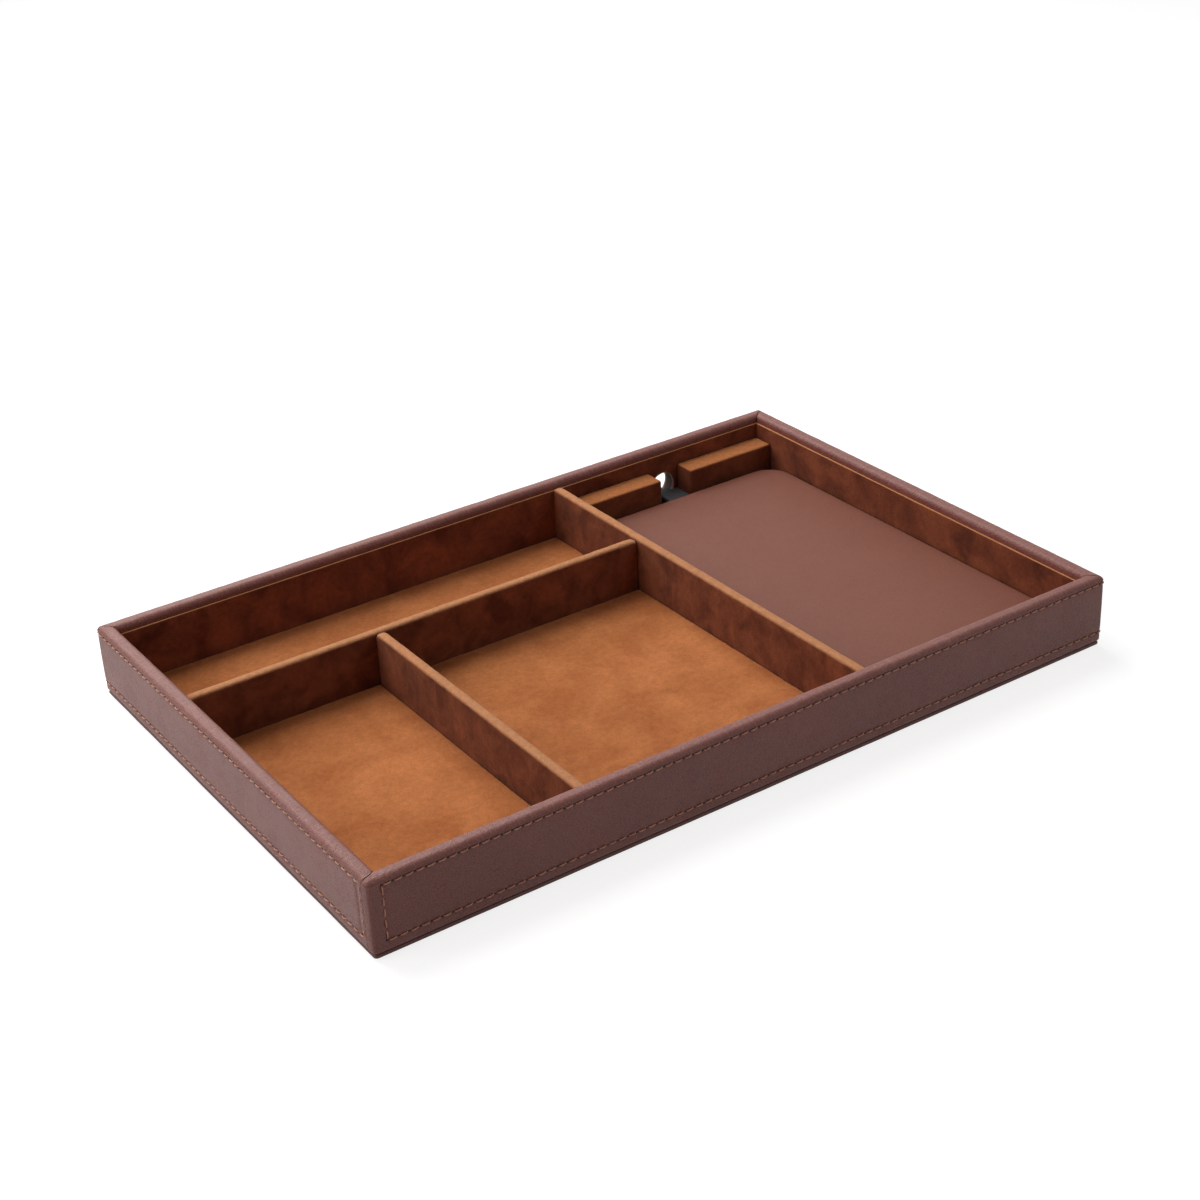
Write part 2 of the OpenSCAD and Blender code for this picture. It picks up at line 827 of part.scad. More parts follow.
// Corners of one ring of a tube, with a flat side at the bottom
function ring(p, along, r, n) =
    let (
        side = unit(cross(along, [0, 0, 1])),
        up = cross(side, along)
    )
    [
        for (k = [0 : n - 1])
            let (a = 270 + 360 * (k + 0.5) / n)
            p + r * (side * cos(a) + up * sin(a))
    ];

function direction(points, i) =
    i == 0 ? unit(points[1] - points[0]) :
    i == len(points) - 1 ? unit(points[i] - points[i - 1]) :
    unit(unit(points[i + 1] - points[i]) + unit(points[i] - points[i - 1]));

module tube(points, r, n) {
    last = len(points) - 1;
    corners = [for (i = [0 : last]) each ring(points[i], direction(points, i), r, n)];
    sides = [
        for (i = [0 : last - 1], k = [0 : n - 1])
            let (a = i * n + k, b = i * n + (k + 1) % n)
            each [[a, b, a + n], [b, b + n, a + n]]
    ];
    polyhedron(corners, concat(
        [[for (k = [n - 1 : -1 : 0]) k]],
        sides,
        [[for (k = [0 : n - 1]) last * n + k]]
    ), convexity = 10);
}

// Distance from a point to the stretch between two others
function to_stretch(p, a, b) =
    let (u = min(1, max(0, (p - a) * (b - a) / ((b - a) * (b - a)))))
    norm(p - a - u * (b - a));

function least_gap(points, apart) = min([
    for (i = [0 : len(points) - 1], j = [i + apart : 1 : len(points) - 2])
        to_stretch(points[i], points[j], points[j + 1])
]) - cable_d;

function route_length(points) =
    let (steps = [for (i = [1 : len(points) - 1]) norm(points[i] - points[i - 1])])
    steps * [for (s = steps) 1];

echo(least_gap_of_folded_cable = least_gap(hank_points, 10));
echo(cable_length = route_length(lead_points) + route_length(hank_points) + route_length(tail_points));

module cord_lead() {
    color(black) tube(lead_points, cable_r, cable_n);
}

module cord_hank() {
    color(black) tube(hank_points, cable_r, hank_n);
}

module cord_tail() {
    color(black) tube(tail_points, cable_r, cable_n);
}

// Strap round the waist of the folded cable
module cord_tie() {
    gap = 0.15;
    bow = waist * strap_w / run_l;
    y0 = turn_radius(climb / 2) - waist + cable_r + gap + bow;
    y1 = turn_radius(0.5 + climb / 2) - waist + cable_r + gap + bow;
    top = hank_z + layer_step + cable_r + gap;
    color("#1c1c1d") translate([hank_x - strap_w / 2, hank_y + (y1 - y0) / 2, (top + strap_t) / 2])
        rotate([90, 0, 90]) linear_extrude(strap_w) difference() {
            round_rect(y0 + y1 + 2 * strap_t, top + strap_t, 2.2);
            round_rect(y0 + y1, top - strap_t, 2.2 - strap_t);
        }
}

// USB-A plug, lying on the table

// A block along X with round edges, starting at x = 0
module bar_block(w, h, l, r) {
    rotate([90, 0, 90]) linear_extrude(l) round_rect(w, h, r);
}

module usb_a_relief() {
    steps = 4;
    color(black) translate([tail_x1, tail_y1, usb_z]) rotate([0, -90, 0]) {
        cylinder(d1 = cable_d + 0.8, d2 = cable_d + 2.4, h = usb_relief_l);
        for (i = [1 : steps])
            translate([0, 0, i * usb_relief_l / (steps + 1)])
                cylinder(d = cable_d + 1.8 + 0.3 * i, h = 1);
    }
}

module usb_a_grip() {
    color(black) translate([usb_grip_x0, tail_y1, usb_z]) {
        bar_block(usb_grip_w, usb_grip_h, usb_grip_l - 3, 1.8);
        translate([usb_grip_l - 3, 0, 0]) bar_block(usb_grip_w - 4, usb_grip_h - 1.6, 3, 1.6);
    }
}

module usb_a_shell() {
    window = 2.2;
    color("#c4c7cb") translate([usb_grip_x0 - usb_a_l, tail_y1, usb_z]) difference() {
        bar_block(usb_a_w, usb_a_h, usb_a_l, 0.5);
        translate([-1, 0, 0])
            bar_block(usb_a_w - 2 * usb_a_wall, usb_a_h - 2 * usb_a_wall, usb_a_l + 2, 0.3);
        for (s = [-1, 1])
            translate([6, s * 3 - window / 2, 0]) cube([window, window, usb_a_h]);
    }
}

module usb_a_insulator() {
    tongue_t = 1.84;
    plug_depth = 0.64 * usb_a_l;
    fit = 0.1;
    width = usb_a_w - 2 * (usb_a_wall + fit);
    color("#e6e6e2") translate([usb_grip_x0 - usb_a_l, tail_y1, usb_z]) {
        translate([0.6, -width / 2, -usb_a_h / 2 + usb_a_wall + fit])
            cube([usb_a_l - 0.6, width, tongue_t]);
        translate([plug_depth, -width / 2 + 0.4, -usb_a_h / 2 + usb_a_wall + fit])
            cube([usb_a_l - plug_depth, width - 0.8, usb_a_h - 2 * (usb_a_wall + fit)]);
    }
}

base_felt();
base_cover();
base_board();
wall_board_front();
wall_board_back();
wall_board_left();
wall_board_right();
leather_front_right();
leather_left_back();
liner_front();
liner_back();
liner_left();
liner_right();
divider_board_long();
divider_board_cross();
divider_board_short();
divider_suede_long();
divider_suede_cross();
divider_suede_short();
floor_pad_back();
floor_pad_left();
floor_pad_middle();
floor_pad_charger();
charger_ledge();
pad_leather();
pad_upper_shell();
pad_lower_shell();
pad_feet();
charging_coil();
ferrite_plate();
circuit_board();
status_led();
usb_c_socket();
usb_c_shell();
usb_c_grip();
usb_c_relief();
cord_lead();
cord_hank();
cord_tail();
cord_tie();
usb_a_relief();
usb_a_grip();
usb_a_shell();
usb_a_insulator();
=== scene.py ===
# %% [markdown]
# # A valet tray with a charging pad
# The tray is a shallow box: thin boards wrapped in imitation leather, sewn with a tan thread, and lined
# with suede. Its right bay holds a loose wireless charging pad, whose cable leaves through the back wall.
#
# The exact boards, shells and plugs come from a CAD model that is loaded first and never moved. This
# lesson dresses them: leather that bulges and takes a needle, suede that rounds off at its edges, thread,
# a bent cable, and the finishes. All lengths below are written in millimetres and turned into metres when
# a mesh is made, because the CAD model and Blender share one frame in metres.

# %% Load the CAD model
import math
import random

import bmesh
import bpy
from mathutils import Euler, Matrix, Vector, noise


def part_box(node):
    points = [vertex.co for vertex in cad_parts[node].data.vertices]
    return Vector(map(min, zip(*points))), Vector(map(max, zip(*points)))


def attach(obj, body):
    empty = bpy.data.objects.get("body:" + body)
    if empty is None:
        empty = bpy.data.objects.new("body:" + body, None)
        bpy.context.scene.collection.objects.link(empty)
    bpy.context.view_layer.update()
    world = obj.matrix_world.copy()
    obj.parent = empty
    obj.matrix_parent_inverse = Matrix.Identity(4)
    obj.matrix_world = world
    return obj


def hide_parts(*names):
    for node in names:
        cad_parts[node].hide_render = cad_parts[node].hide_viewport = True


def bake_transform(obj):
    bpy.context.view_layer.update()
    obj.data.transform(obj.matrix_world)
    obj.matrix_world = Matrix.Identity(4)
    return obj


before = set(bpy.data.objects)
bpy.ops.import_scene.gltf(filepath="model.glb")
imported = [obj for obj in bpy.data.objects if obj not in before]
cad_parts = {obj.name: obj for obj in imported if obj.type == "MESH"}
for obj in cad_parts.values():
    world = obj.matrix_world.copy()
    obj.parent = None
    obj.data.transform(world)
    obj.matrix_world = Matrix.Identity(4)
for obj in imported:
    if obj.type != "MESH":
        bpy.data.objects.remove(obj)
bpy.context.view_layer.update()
MM = 0.001

# %% [markdown]
# ## Camera, light and backdrop
# The camera's place, turn and focal length come from fitting the tray's straight edges to the product
# view, so the front-left corner points at the viewer. The light is that of a small photo tent: one wide
# lamp above the back, a weaker one at the left and a faint one in front, so floors are bright and the
# walls that face the viewer are dark. The floor and the world answer camera rays with white, so the
# background is white without more light falling on the leather.

# %% Camera
camera_data = bpy.data.cameras.new("view_camera")
camera_data.sensor_width = 36
camera_data.lens = 64.33
camera_data.clip_start = 0.01
view_camera = bpy.data.objects.new("view_camera", camera_data)
view_camera.location = (-0.40408, -0.61850, 0.42781)
view_camera.rotation_euler = Euler((1.077711, 0.045245, -0.603112))
scene = bpy.context.scene
scene.collection.objects.link(view_camera)
scene.camera = view_camera
scene.view_settings.view_transform = "Standard"
print("camera:", camera_data.lens, "mm lens")


# %% Lamps
def add_softbox(name, place, aim, width, watts):
    """A square area lamp at a place, turned towards a point."""
    lamp = bpy.data.lights.new(name, "AREA")
    lamp.size = width
    lamp.energy = watts
    holder = bpy.data.objects.new(name, lamp)
    holder.location = place
    direction = Vector(aim) - Vector(place)
    holder.rotation_euler = direction.to_track_quat("-Z", "Y").to_euler()
    scene.collection.objects.link(holder)
    return holder


add_softbox("softbox_back", (-0.1, 0.75, 0.85), (0, 0, 0), 1.1, 15.0)
add_softbox("softbox_left", (-1.0, 0.15, 0.55), (0, 0, 0.01), 0.7, 4.0)
add_softbox("softbox_front", (0.5, -1.0, 0.6), (0, 0, 0.01), 0.6, 1.5)


# %% Nodes in few words
def add_node(tree, kind, **settings):
    """Adds a node. A setting named like a socket fills it, any other is a property of the node."""
    node = tree.nodes.new("ShaderNode" + kind)
    for key, value in settings.items():
        socket = node.inputs.get(key.replace("_", " "))
        if socket is None:
            setattr(node, key, value)
        elif isinstance(value, bpy.types.NodeSocket):
            tree.links.new(value, socket)
        else:
            socket.default_value = value
    return node


def shown_to_eye(tree):
    """A mask that is 1 for camera, glossy and transmission rays."""
    rays = add_node(tree, "LightPath")
    first = add_node(tree, "Math", operation="MAXIMUM")
    tree.links.new(rays.outputs["Is Camera Ray"], first.inputs[0])
    tree.links.new(rays.outputs["Is Glossy Ray"], first.inputs[1])
    second = add_node(tree, "Math", operation="MAXIMUM")
    tree.links.new(first.outputs[0], second.inputs[0])
    tree.links.new(rays.outputs["Is Transmission Ray"], second.inputs[1])
    return second.outputs[0]


# %% World and floor
world = bpy.data.worlds.new("pale_world")
scene.world = world
world.use_nodes = True
sky = world.node_tree
sky.nodes.clear()
lighting = add_node(sky, "Background", Color=(1.0, 0.985, 0.97, 1), Strength=0.12)
backdrop = add_node(sky, "Background", Color=(1, 1, 1, 1), Strength=1.0)
sky_mix = add_node(sky, "MixShader", Fac=shown_to_eye(sky))
sky.links.new(lighting.outputs[0], sky_mix.inputs[1])
sky.links.new(backdrop.outputs[0], sky_mix.inputs[2])
sky_out = add_node(sky, "OutputWorld")
sky.links.new(sky_mix.outputs[0], sky_out.inputs[0])

floor_finish = bpy.data.materials.new("pale_floor")
floor_finish.use_nodes = True
tree = floor_finish.node_tree
tree.nodes.clear()
matt = add_node(tree, "BsdfDiffuse", Color=(0.40, 0.395, 0.39, 1))
glow = add_node(tree, "Emission", Color=(1, 1, 1, 1), Strength=0.80)
both = add_node(tree, "AddShader")
tree.links.new(matt.outputs[0], both.inputs[0])
tree.links.new(glow.outputs[0], both.inputs[1])
floor_mix = add_node(tree, "MixShader", Fac=shown_to_eye(tree))
tree.links.new(matt.outputs[0], floor_mix.inputs[1])
tree.links.new(both.outputs[0], floor_mix.inputs[2])
floor_out = add_node(tree, "OutputMaterial")
tree.links.new(floor_mix.outputs[0], floor_out.inputs[0])

FLOOR_HALF = 4.0
floor_mesh = bpy.data.meshes.new("pale_floor")
corners = [(x * FLOOR_HALF, y * FLOOR_HALF, 0) for x, y in ((-1, -1), (1, -1), (1, 1), (-1, 1))]
floor_mesh.from_pydata(corners, [], [(0, 1, 2, 3)])
floor_mesh.materials.append(floor_finish)
floor = bpy.data.objects.new("pale_floor", floor_mesh)
floor.location.z = -0.0002
scene.collection.objects.link(floor)
print("floor and world are set")

# %% [markdown]
# ## Sizes
# These repeat the CAD model's values in millimetres. The tray's middle is at x = 0, y = 0, and it stands
# on z = 0.

# %% Sizes of the tray and the pad
TRAY_W, TRAY_D, RIM_Z = 330.0, 218.0, 31.0
BASE_Z = 2.4
WALL_T, SKIN_T = 6.2, 0.9
CORNER_R, RIM_R = 1.6, 2.2
BAY_X = 103.8
print("tray:", TRAY_W, "x", TRAY_D, "x", RIM_Z, "mm")


# %% Making a piece from points in millimetres
SHARP_DEG = 38


def make_piece(name, points, faces, finish, body, stands_for=()):
    """A mesh piece that rides on a CAD body and may stand for CAD nodes."""
    mesh = bpy.data.meshes.new(name)
    mesh.from_pydata([Vector(p) * MM for p in points], [], faces)
    mesh.validate()
    cleaner = bmesh.new()
    cleaner.from_mesh(mesh)
    bmesh.ops.remove_doubles(cleaner, verts=cleaner.verts, dist=1e-6)
    bmesh.ops.dissolve_degenerate(cleaner, edges=cleaner.edges, dist=1e-7)
    bmesh.ops.recalc_face_normals(cleaner, faces=cleaner.faces)
    cleaner.to_mesh(mesh)
    cleaner.free()
    mesh.shade_smooth()
    mesh.set_sharp_from_angle(angle=math.radians(SHARP_DEG))
    mesh.materials.append(finish)
    piece = bpy.data.objects.new(name, mesh)
    scene.collection.objects.link(piece)
    if body:
        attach(piece, body)
    if stands_for:
        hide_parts(*stands_for)
    print(f"{name}: {len(mesh.vertices)} points, {len(mesh.polygons)} faces")
    return piece


def grid_faces(rows, columns):
    """Faces between rows of a lofted grid, where each row's last point joins its first."""
    faces = []
    for i in range(rows - 1):
        near, far = i * columns, (i + 1) * columns
        for k in range(columns):
            after = (k + 1) % columns
            faces.append((near + k, near + after, far + after, far + k))
    return faces


def lump(x, y, z, size):
    """Smooth noise from -1 to 1, with lumps about as wide as size in millimetres."""
    return noise.noise(Vector((x, y, z)) / size)


# %% [markdown]
# ## The effects that several finishes share
# Leather and suede each need the same few effects at different scales, so each effect is a node group with
# named inputs: a fine pebble grain with soft creases, a brushed nap, and the pale marks that handling leaves.
# The groups give out only masks and heights. The shader itself stays in each material.

# %% A helper for node groups
def start_group(name, inputs, outputs):
    """An empty shader node group with named float sockets, and its two end nodes."""
    group = bpy.data.node_groups.new(name, "ShaderNodeTree")
    for label, default in inputs:
        socket = group.interface.new_socket(label, in_out="INPUT", socket_type="NodeSocketFloat")
        socket.default_value = default
    for label in outputs:
        group.interface.new_socket(label, in_out="OUTPUT", socket_type="NodeSocketFloat")
    entry = group.nodes.new("NodeGroupInput")
    end = group.nodes.new("NodeGroupOutput")
    return group, entry, end


def texture_scale(tree, size_socket):
    """Turns a size in millimetres into a texture scale in the metre frame."""
    divide = add_node(tree, "Math", operation="DIVIDE")
    divide.inputs[0].default_value = 1000.0
    tree.links.new(size_socket, divide.inputs[1])
    return divide.outputs[0]


def weighted(tree, value, weight):
    """value times weight, where weight is a socket or a number."""
    product = add_node(tree, "Math", operation="MULTIPLY")
    tree.links.new(value, product.inputs[0])
    if isinstance(weight, bpy.types.NodeSocket):
        tree.links.new(weight, product.inputs[1])
    else:
        product.inputs[1].default_value = weight
    return product.outputs[0]


def summed(tree, first, second):
    total = add_node(tree, "Math", operation="ADD")
    tree.links.new(first, total.inputs[0])
    tree.links.new(second, total.inputs[1])
    return total.outputs[0]


def add_noise(tree, vector, scale, detail, roughness, distortion=0.0):
    """The output of a noise texture."""
    texture = add_node(tree, "TexNoise", Vector=vector, Scale=scale, Detail=detail, Roughness=roughness)
    texture.inputs["Distortion"].default_value = distortion
    return texture.outputs[0]


# %% Leather grain
grain_inputs = [("Pebble mm", 0.8), ("Crease mm", 9.0), ("Creases", 0.5)]
grain_group, entry, end = start_group("leather_grain", grain_inputs, ["Height", "Pores"])
place = add_node(grain_group, "TexCoord")
sway = add_node(grain_group, "TexNoise", Vector=place.outputs["Object"], Scale=220.0, Detail=2.0)
shift = add_node(grain_group, "VectorMath", operation="SCALE", Scale=0.0012)
grain_group.links.new(sway.outputs["Color"], shift.inputs[0])
swayed = add_node(grain_group, "VectorMath", operation="ADD")
grain_group.links.new(place.outputs["Object"], swayed.inputs[0])
grain_group.links.new(shift.outputs[0], swayed.inputs[1])
pebbles = add_node(grain_group, "TexVoronoi", feature="DISTANCE_TO_EDGE", Vector=swayed.outputs[0])
grain_group.links.new(texture_scale(grain_group, entry.outputs["Pebble mm"]), pebbles.inputs["Scale"])
domes = add_node(grain_group, "MapRange", Value=pebbles.outputs["Distance"], From_Max=0.22)
crease_scale = texture_scale(grain_group, entry.outputs["Crease mm"])
creases = add_noise(grain_group, swayed.outputs[0], crease_scale, 5.0, 0.6, 0.6)
fold = add_node(grain_group, "MapRange", Value=creases, From_Min=0.40, From_Max=0.52)
folded = weighted(grain_group, fold.outputs[0], entry.outputs["Creases"])
height = summed(grain_group, weighted(grain_group, domes.outputs[0], 0.5), folded)
grain_group.links.new(height, end.inputs["Height"])
grain_group.links.new(domes.outputs[0], end.inputs["Pores"])
print("group:", grain_group.name)

# %% Suede nap
nap_inputs = [("Patch mm", 14.0), ("Fibre mm", 0.35)]
nap_group, entry, end = start_group("suede_nap", nap_inputs, ["Patch", "Fibre", "Height"])
place = add_node(nap_group, "TexCoord")
spot = place.outputs["Object"]
patches = add_noise(nap_group, spot, texture_scale(nap_group, entry.outputs["Patch mm"]), 3.0, 0.55, 0.5)
fibre_scale = texture_scale(nap_group, entry.outputs["Fibre mm"])
fibres = add_noise(nap_group, spot, fibre_scale, 2.0, 0.7)
tufts = add_noise(nap_group, spot, weighted(nap_group, fibre_scale, 0.24), 3.0, 0.6)
fine = summed(nap_group, weighted(nap_group, fibres, 0.55), weighted(nap_group, tufts, 0.45))
nap_group.links.new(patches, end.inputs["Patch"])
nap_group.links.new(fine, end.inputs["Fibre"])
nap_group.links.new(fine, end.inputs["Height"])
print("group:", nap_group.name)

# %% Wrinkles over the rim
wrinkle_group, entry, end = start_group("rim_wrinkles", [("Wrinkle mm", 1.0)], ["Height"])
place = add_node(wrinkle_group, "TexCoord")
split = add_node(wrinkle_group, "SeparateXYZ", Vector=place.outputs["Object"])
side_on = add_node(wrinkle_group, "Math", operation="ABSOLUTE")
wrinkle_group.links.new(split.outputs["X"], side_on.inputs[0])
on_side_wall = add_node(wrinkle_group, "MapRange", From_Min=0.1580, From_Max=0.1592)
wrinkle_group.links.new(side_on.outputs[0], on_side_wall.inputs["Value"])
wrinkle_scale = texture_scale(wrinkle_group, entry.outputs["Wrinkle mm"])
folds = []
for stretch in ((1.0, 0.22, 0.22), (0.22, 1.0, 0.22)):
    stretched = add_node(wrinkle_group, "VectorMath", operation="MULTIPLY")
    wrinkle_group.links.new(place.outputs["Object"], stretched.inputs[0])
    stretched.inputs[1].default_value = stretch
    folds.append(add_noise(wrinkle_group, stretched.outputs[0], wrinkle_scale, 3.0, 0.55, 0.8))
pick = add_node(wrinkle_group, "Mix", data_type="FLOAT")
wrinkle_group.links.new(on_side_wall.outputs[0], pick.inputs[0])
wrinkle_group.links.new(folds[0], pick.inputs[2])
wrinkle_group.links.new(folds[1], pick.inputs[3])
wrinkle_group.links.new(pick.outputs[0], end.inputs["Height"])
print("group:", wrinkle_group.name)

# %% Marks of handling
rub_group, entry, end = start_group("handling_marks", [("Mark mm", 30.0), ("Amount", 0.5)], ["Rub"])
place = add_node(rub_group, "TexCoord")
mark_scale = texture_scale(rub_group, entry.outputs["Mark mm"])
smears = add_noise(rub_group, place.outputs["Object"], mark_scale, 6.0, 0.65, 0.4)
smear_band = add_node(rub_group, "MapRange", Value=smears, From_Min=0.45, From_Max=0.72)
rub_group.links.new(weighted(rub_group, smear_band.outputs[0], entry.outputs["Amount"]), end.inputs["Rub"])
print("group:", rub_group.name)


# %% Starting a material
def linear(code):
    """A colour written as on screen, turned into linear light."""
    parts = [int(code[i : i + 2], 16) / 255 for i in (0, 2, 4)]
    return [p / 12.92 if p <= 0.04045 else ((p + 0.055) / 1.055) ** 2.4 for p in parts] + [1.0]


def start_material(name, **sockets):
    """A material with a Principled shader whose plain values are set on its own sockets."""
    material = bpy.data.materials.new(name)
    material.use_nodes = True
    tree = material.node_tree
    shader = tree.nodes["Principled BSDF"]
    for key, value in sockets.items():
        shader.inputs[key.replace("_", " ")].default_value = value
    return material, tree, shader


def place_group(tree, group, **values):
    """A node group with its inputs filled."""
    node = add_node(tree, "Group", node_tree=group)
    for key, value in values.items():
        node.inputs[key.replace("_", " ")].default_value = value
    return node


def colour_mix(tree, mask, low, high):
    """A colour between two, by a mask."""
    mix = add_node(tree, "Mix", data_type="RGBA", clamp_factor=True)
    tree.links.new(mask, mix.inputs[0])
    for socket, value in ((mix.inputs[6], low), (mix.inputs[7], high)):
        if isinstance(value, bpy.types.NodeSocket):
            tree.links.new(value, socket)
        else:
            socket.default_value = value
    return mix.outputs[2]


def set_bump(tree, shader, height, depth_mm):
    """Bump with a real depth in millimetres."""
    bump = add_node(tree, "Bump", Strength=1.0, Distance=depth_mm * MM)
    tree.links.new(height, bump.inputs["Height"])
    tree.links.new(bump.outputs[0], shader.inputs["Normal"])


def remapped(tree, value, from_min, from_max, to_min=0.0, to_max=1.0):
    stretch = add_node(tree, "MapRange", From_Min=from_min, From_Max=from_max, To_Min=to_min, To_Max=to_max)
    tree.links.new(value, stretch.inputs["Value"])
    return stretch.outputs[0]


# %% [markdown]
# ## Finishes
# The outer leather is a smooth imitation leather, dark reddish brown, with a fine grain and a low sheen.
# The suede is a rust tan whose nap turns lighter or darker where it was brushed. Both get their colour
# from a mask, so no large area has one flat tone.

# %% Leather finishes
def facing_up(tree, low, high):
    """A mask that is 1 where the surface faces up."""
    shape = add_node(tree, "NewGeometry")
    split = add_node(tree, "SeparateXYZ", Vector=shape.outputs["Normal"])
    return remapped(tree, split.outputs["Z"], low, high)


def leather_material(name, dark, light, top, pebble, creases, roughness, marks, bump_mm, rim_mm=0.0):
    gloss_values = {"Coat_Weight": 0.05, "Coat_Roughness": 0.3, "Specular_IOR_Level": 0.32}
    material, tree, shader = start_material(name, **gloss_values)
    grain = place_group(tree, grain_group, Pebble_mm=pebble, Crease_mm=11.0, Creases=creases)
    rub = place_group(tree, rub_group, Mark_mm=36.0, Amount=marks)
    pores = remapped(tree, grain.outputs["Pores"], 0.0, 1.0, 0.2, 1.0)
    base = colour_mix(tree, pores, linear(dark), linear(light))
    worn = colour_mix(tree, rub.outputs["Rub"], base, [min(1, c * 1.35) for c in linear(light)[:3]] + [1])
    # Faces that face up, such as the rim's top and the pad's top, are painted the lighter top colour: a
    # painted highlight where the lamp above falls.
    rim = colour_mix(tree, weighted(tree, facing_up(tree, 0.55, 0.95), 0.6), worn, linear(top))
    height = grain.outputs["Height"]
    if rim_mm:
        wrinkles = place_group(tree, wrinkle_group, Wrinkle_mm=1.0)
        on_rim = facing_up(tree, 0.15, 0.5)
        wrinkled = weighted(tree, wrinkles.outputs["Height"], on_rim)
        height = summed(tree, height, weighted(tree, wrinkled, rim_mm / bump_mm))
        # The rim's rounded outer edge is painted a darker red: painted shade where the lit top turns down to
        # the face.
        edge = weighted(tree, on_rim, facing_up(tree, 0.85, 0.6))
        rim = colour_mix(tree, weighted(tree, edge, 0.45), rim, linear("6b3129"))
        # The wrinkle crests on the rim are painted pale pink: painted highlights on the wrinkles.
        pale = remapped(tree, wrinkles.outputs["Height"], 0.5, 0.75)
        rim = colour_mix(tree, weighted(tree, weighted(tree, pale, on_rim), 0.3), rim, linear("b07a6c"))
    tree.links.new(rim, shader.inputs["Base Color"])
    gloss = remapped(tree, grain.outputs["Height"], 0.0, 1.0, roughness + 0.08, roughness - 0.06)
    tree.links.new(gloss, shader.inputs["Roughness"])
    set_bump(tree, shader, height, bump_mm)
    return material


RIM_WRINKLE_MM = 0.30
# The third colour of each leather is the painted highlight on faces that face up.
outer_tones = ("60302a", "834b41", "8a554b")
outer_leather = leather_material("outer_leather", *outer_tones, 0.9, 0.30, 0.40, 0.35, 0.16, RIM_WRINKLE_MM)
# The base leather is the outer leather painted darker: painted shade under the wall's foot.
base_leather_painted_shade = leather_material("base_leather_painted_shade", "4a2722", "643932", "643932", 0.8, 0.2, 0.45, 0.2, 0.08)
pad_leather = leather_material("pad_leather", "5e3227", "86513f", "7f4b3b", 0.6, 0.15, 0.62, 0.25, 0.10)
print("leather finishes are made")


# %% Suede finishes
def toned(tree, colour, mask, low, high):
    """A colour made darker or lighter by a mask."""
    grey = remapped(tree, mask, 0.35, 0.65, low, high)
    product = add_node(tree, "Mix", data_type="RGBA", blend_type="MULTIPLY")
    product.inputs[0].default_value = 1.0
    tree.links.new(colour, product.inputs[6])
    tree.links.new(grey, product.inputs[7])
    return product.outputs[2]


def suede_material(name, shade, brushed, top, patch, lit_top_share=0.85):
    """Suede with a patchy nap, painted lighter where the surface faces up: a painted highlight on its tops.
    """
    material, tree, shader = start_material(
        name,
        Roughness=0.95,
        Specular_IOR_Level=0.1,
        Sheen_Weight=0.12,
        Sheen_Roughness=0.5,
        Sheen_Tint=(1.0, 0.62, 0.4, 1.0),
    )
    nap = place_group(tree, nap_group, Patch_mm=patch, Fibre_mm=0.5)
    brushing = remapped(tree, nap.outputs["Patch"], 0.33, 0.67)
    whole = colour_mix(tree, brushing, linear(shade), linear(brushed))
    # Faces that face up are painted the top colour: a painted highlight.
    colour_with_lit_tops = colour_mix(tree, weighted(tree, facing_up(tree, 0.3, 0.85), lit_top_share), whole, linear(top))
    tree.links.new(toned(tree, colour_with_lit_tops, nap.outputs["Fibre"], 0.80, 1.18), shader.inputs["Base Color"])
    set_bump(tree, shader, nap.outputs["Height"], 0.3)
    return material


floor_suede = suede_material("floor_suede", "a05a32", "c87e4c", "be7341", 24.0, 0.4)
# The lining, ledge and divider suede is the floor's suede painted darker, which is painted shade on walls
# away from the lamps. Their tops are painted lighter as a painted highlight.
lining_suede_painted_shade = suede_material("lining_suede_painted_shade", "5a2a1d", "88482f", "c98a5c", 16.0)
ledge_suede_painted_shade = suede_material("ledge_suede_painted_shade", "62301f", "84472d", "c27a49", 16.0)
divider_suede = suede_material("divider_suede", "5c2d1e", "84482f", "c98d63", 12.0)
print("suede finishes are made")


# %% Small finishes
def plain_material(name, code, code_light, roughness, spot_mm, bump_mm, **sockets):
    """A moulded, cast or pressed surface: two close tones and a fine texture."""
    material, tree, shader = start_material(name, **sockets)
    place = add_node(tree, "TexCoord")
    speckle = add_noise(tree, place.outputs["Object"], 1000.0 / spot_mm, 4.0, 0.6)
    tone = remapped(tree, speckle, 0.38, 0.62)
    tree.links.new(colour_mix(tree, tone, linear(code), linear(code_light)), shader.inputs["Base Color"])
    gloss = remapped(tree, speckle, 0.3, 0.7, roughness - 0.06, roughness + 0.06)
    tree.links.new(gloss, shader.inputs["Roughness"])
    set_bump(tree, shader, speckle, bump_mm)
    return material


thread = plain_material("tan_thread", "b87a60", "e6ab8c", 0.7, 0.5, 0.05, Sheen_Weight=0.1)
# The needle holes' near-black colour is painted shade inside the holes.
needle_hole_painted_shade = plain_material("needle_hole_painted_shade", "120807", "1c0e0b", 0.9, 0.6, 0.02)
raw_board = plain_material("raw_board", "2e211b", "43322a", 0.9, 0.9, 0.06)
base_felt = plain_material("base_felt", "241a17", "3a2c27", 0.98, 0.6, 0.15, Sheen_Weight=0.3)
pad_shell = plain_material("pad_shell", "241b19", "2f2522", 0.6, 0.4, 0.03)
foot_rubber = plain_material("foot_rubber", "161616", "202020", 0.8, 0.5, 0.03)
copper = plain_material("copper", "a85f35", "c47b4b", 0.35, 0.8, 0.02, Metallic=1.0)
ferrite = plain_material("ferrite", "2c2c2f", "3a3a3e", 0.7, 0.4, 0.04)
circuit = plain_material("circuit", "12402a", "1b5437", 0.45, 1.2, 0.02)
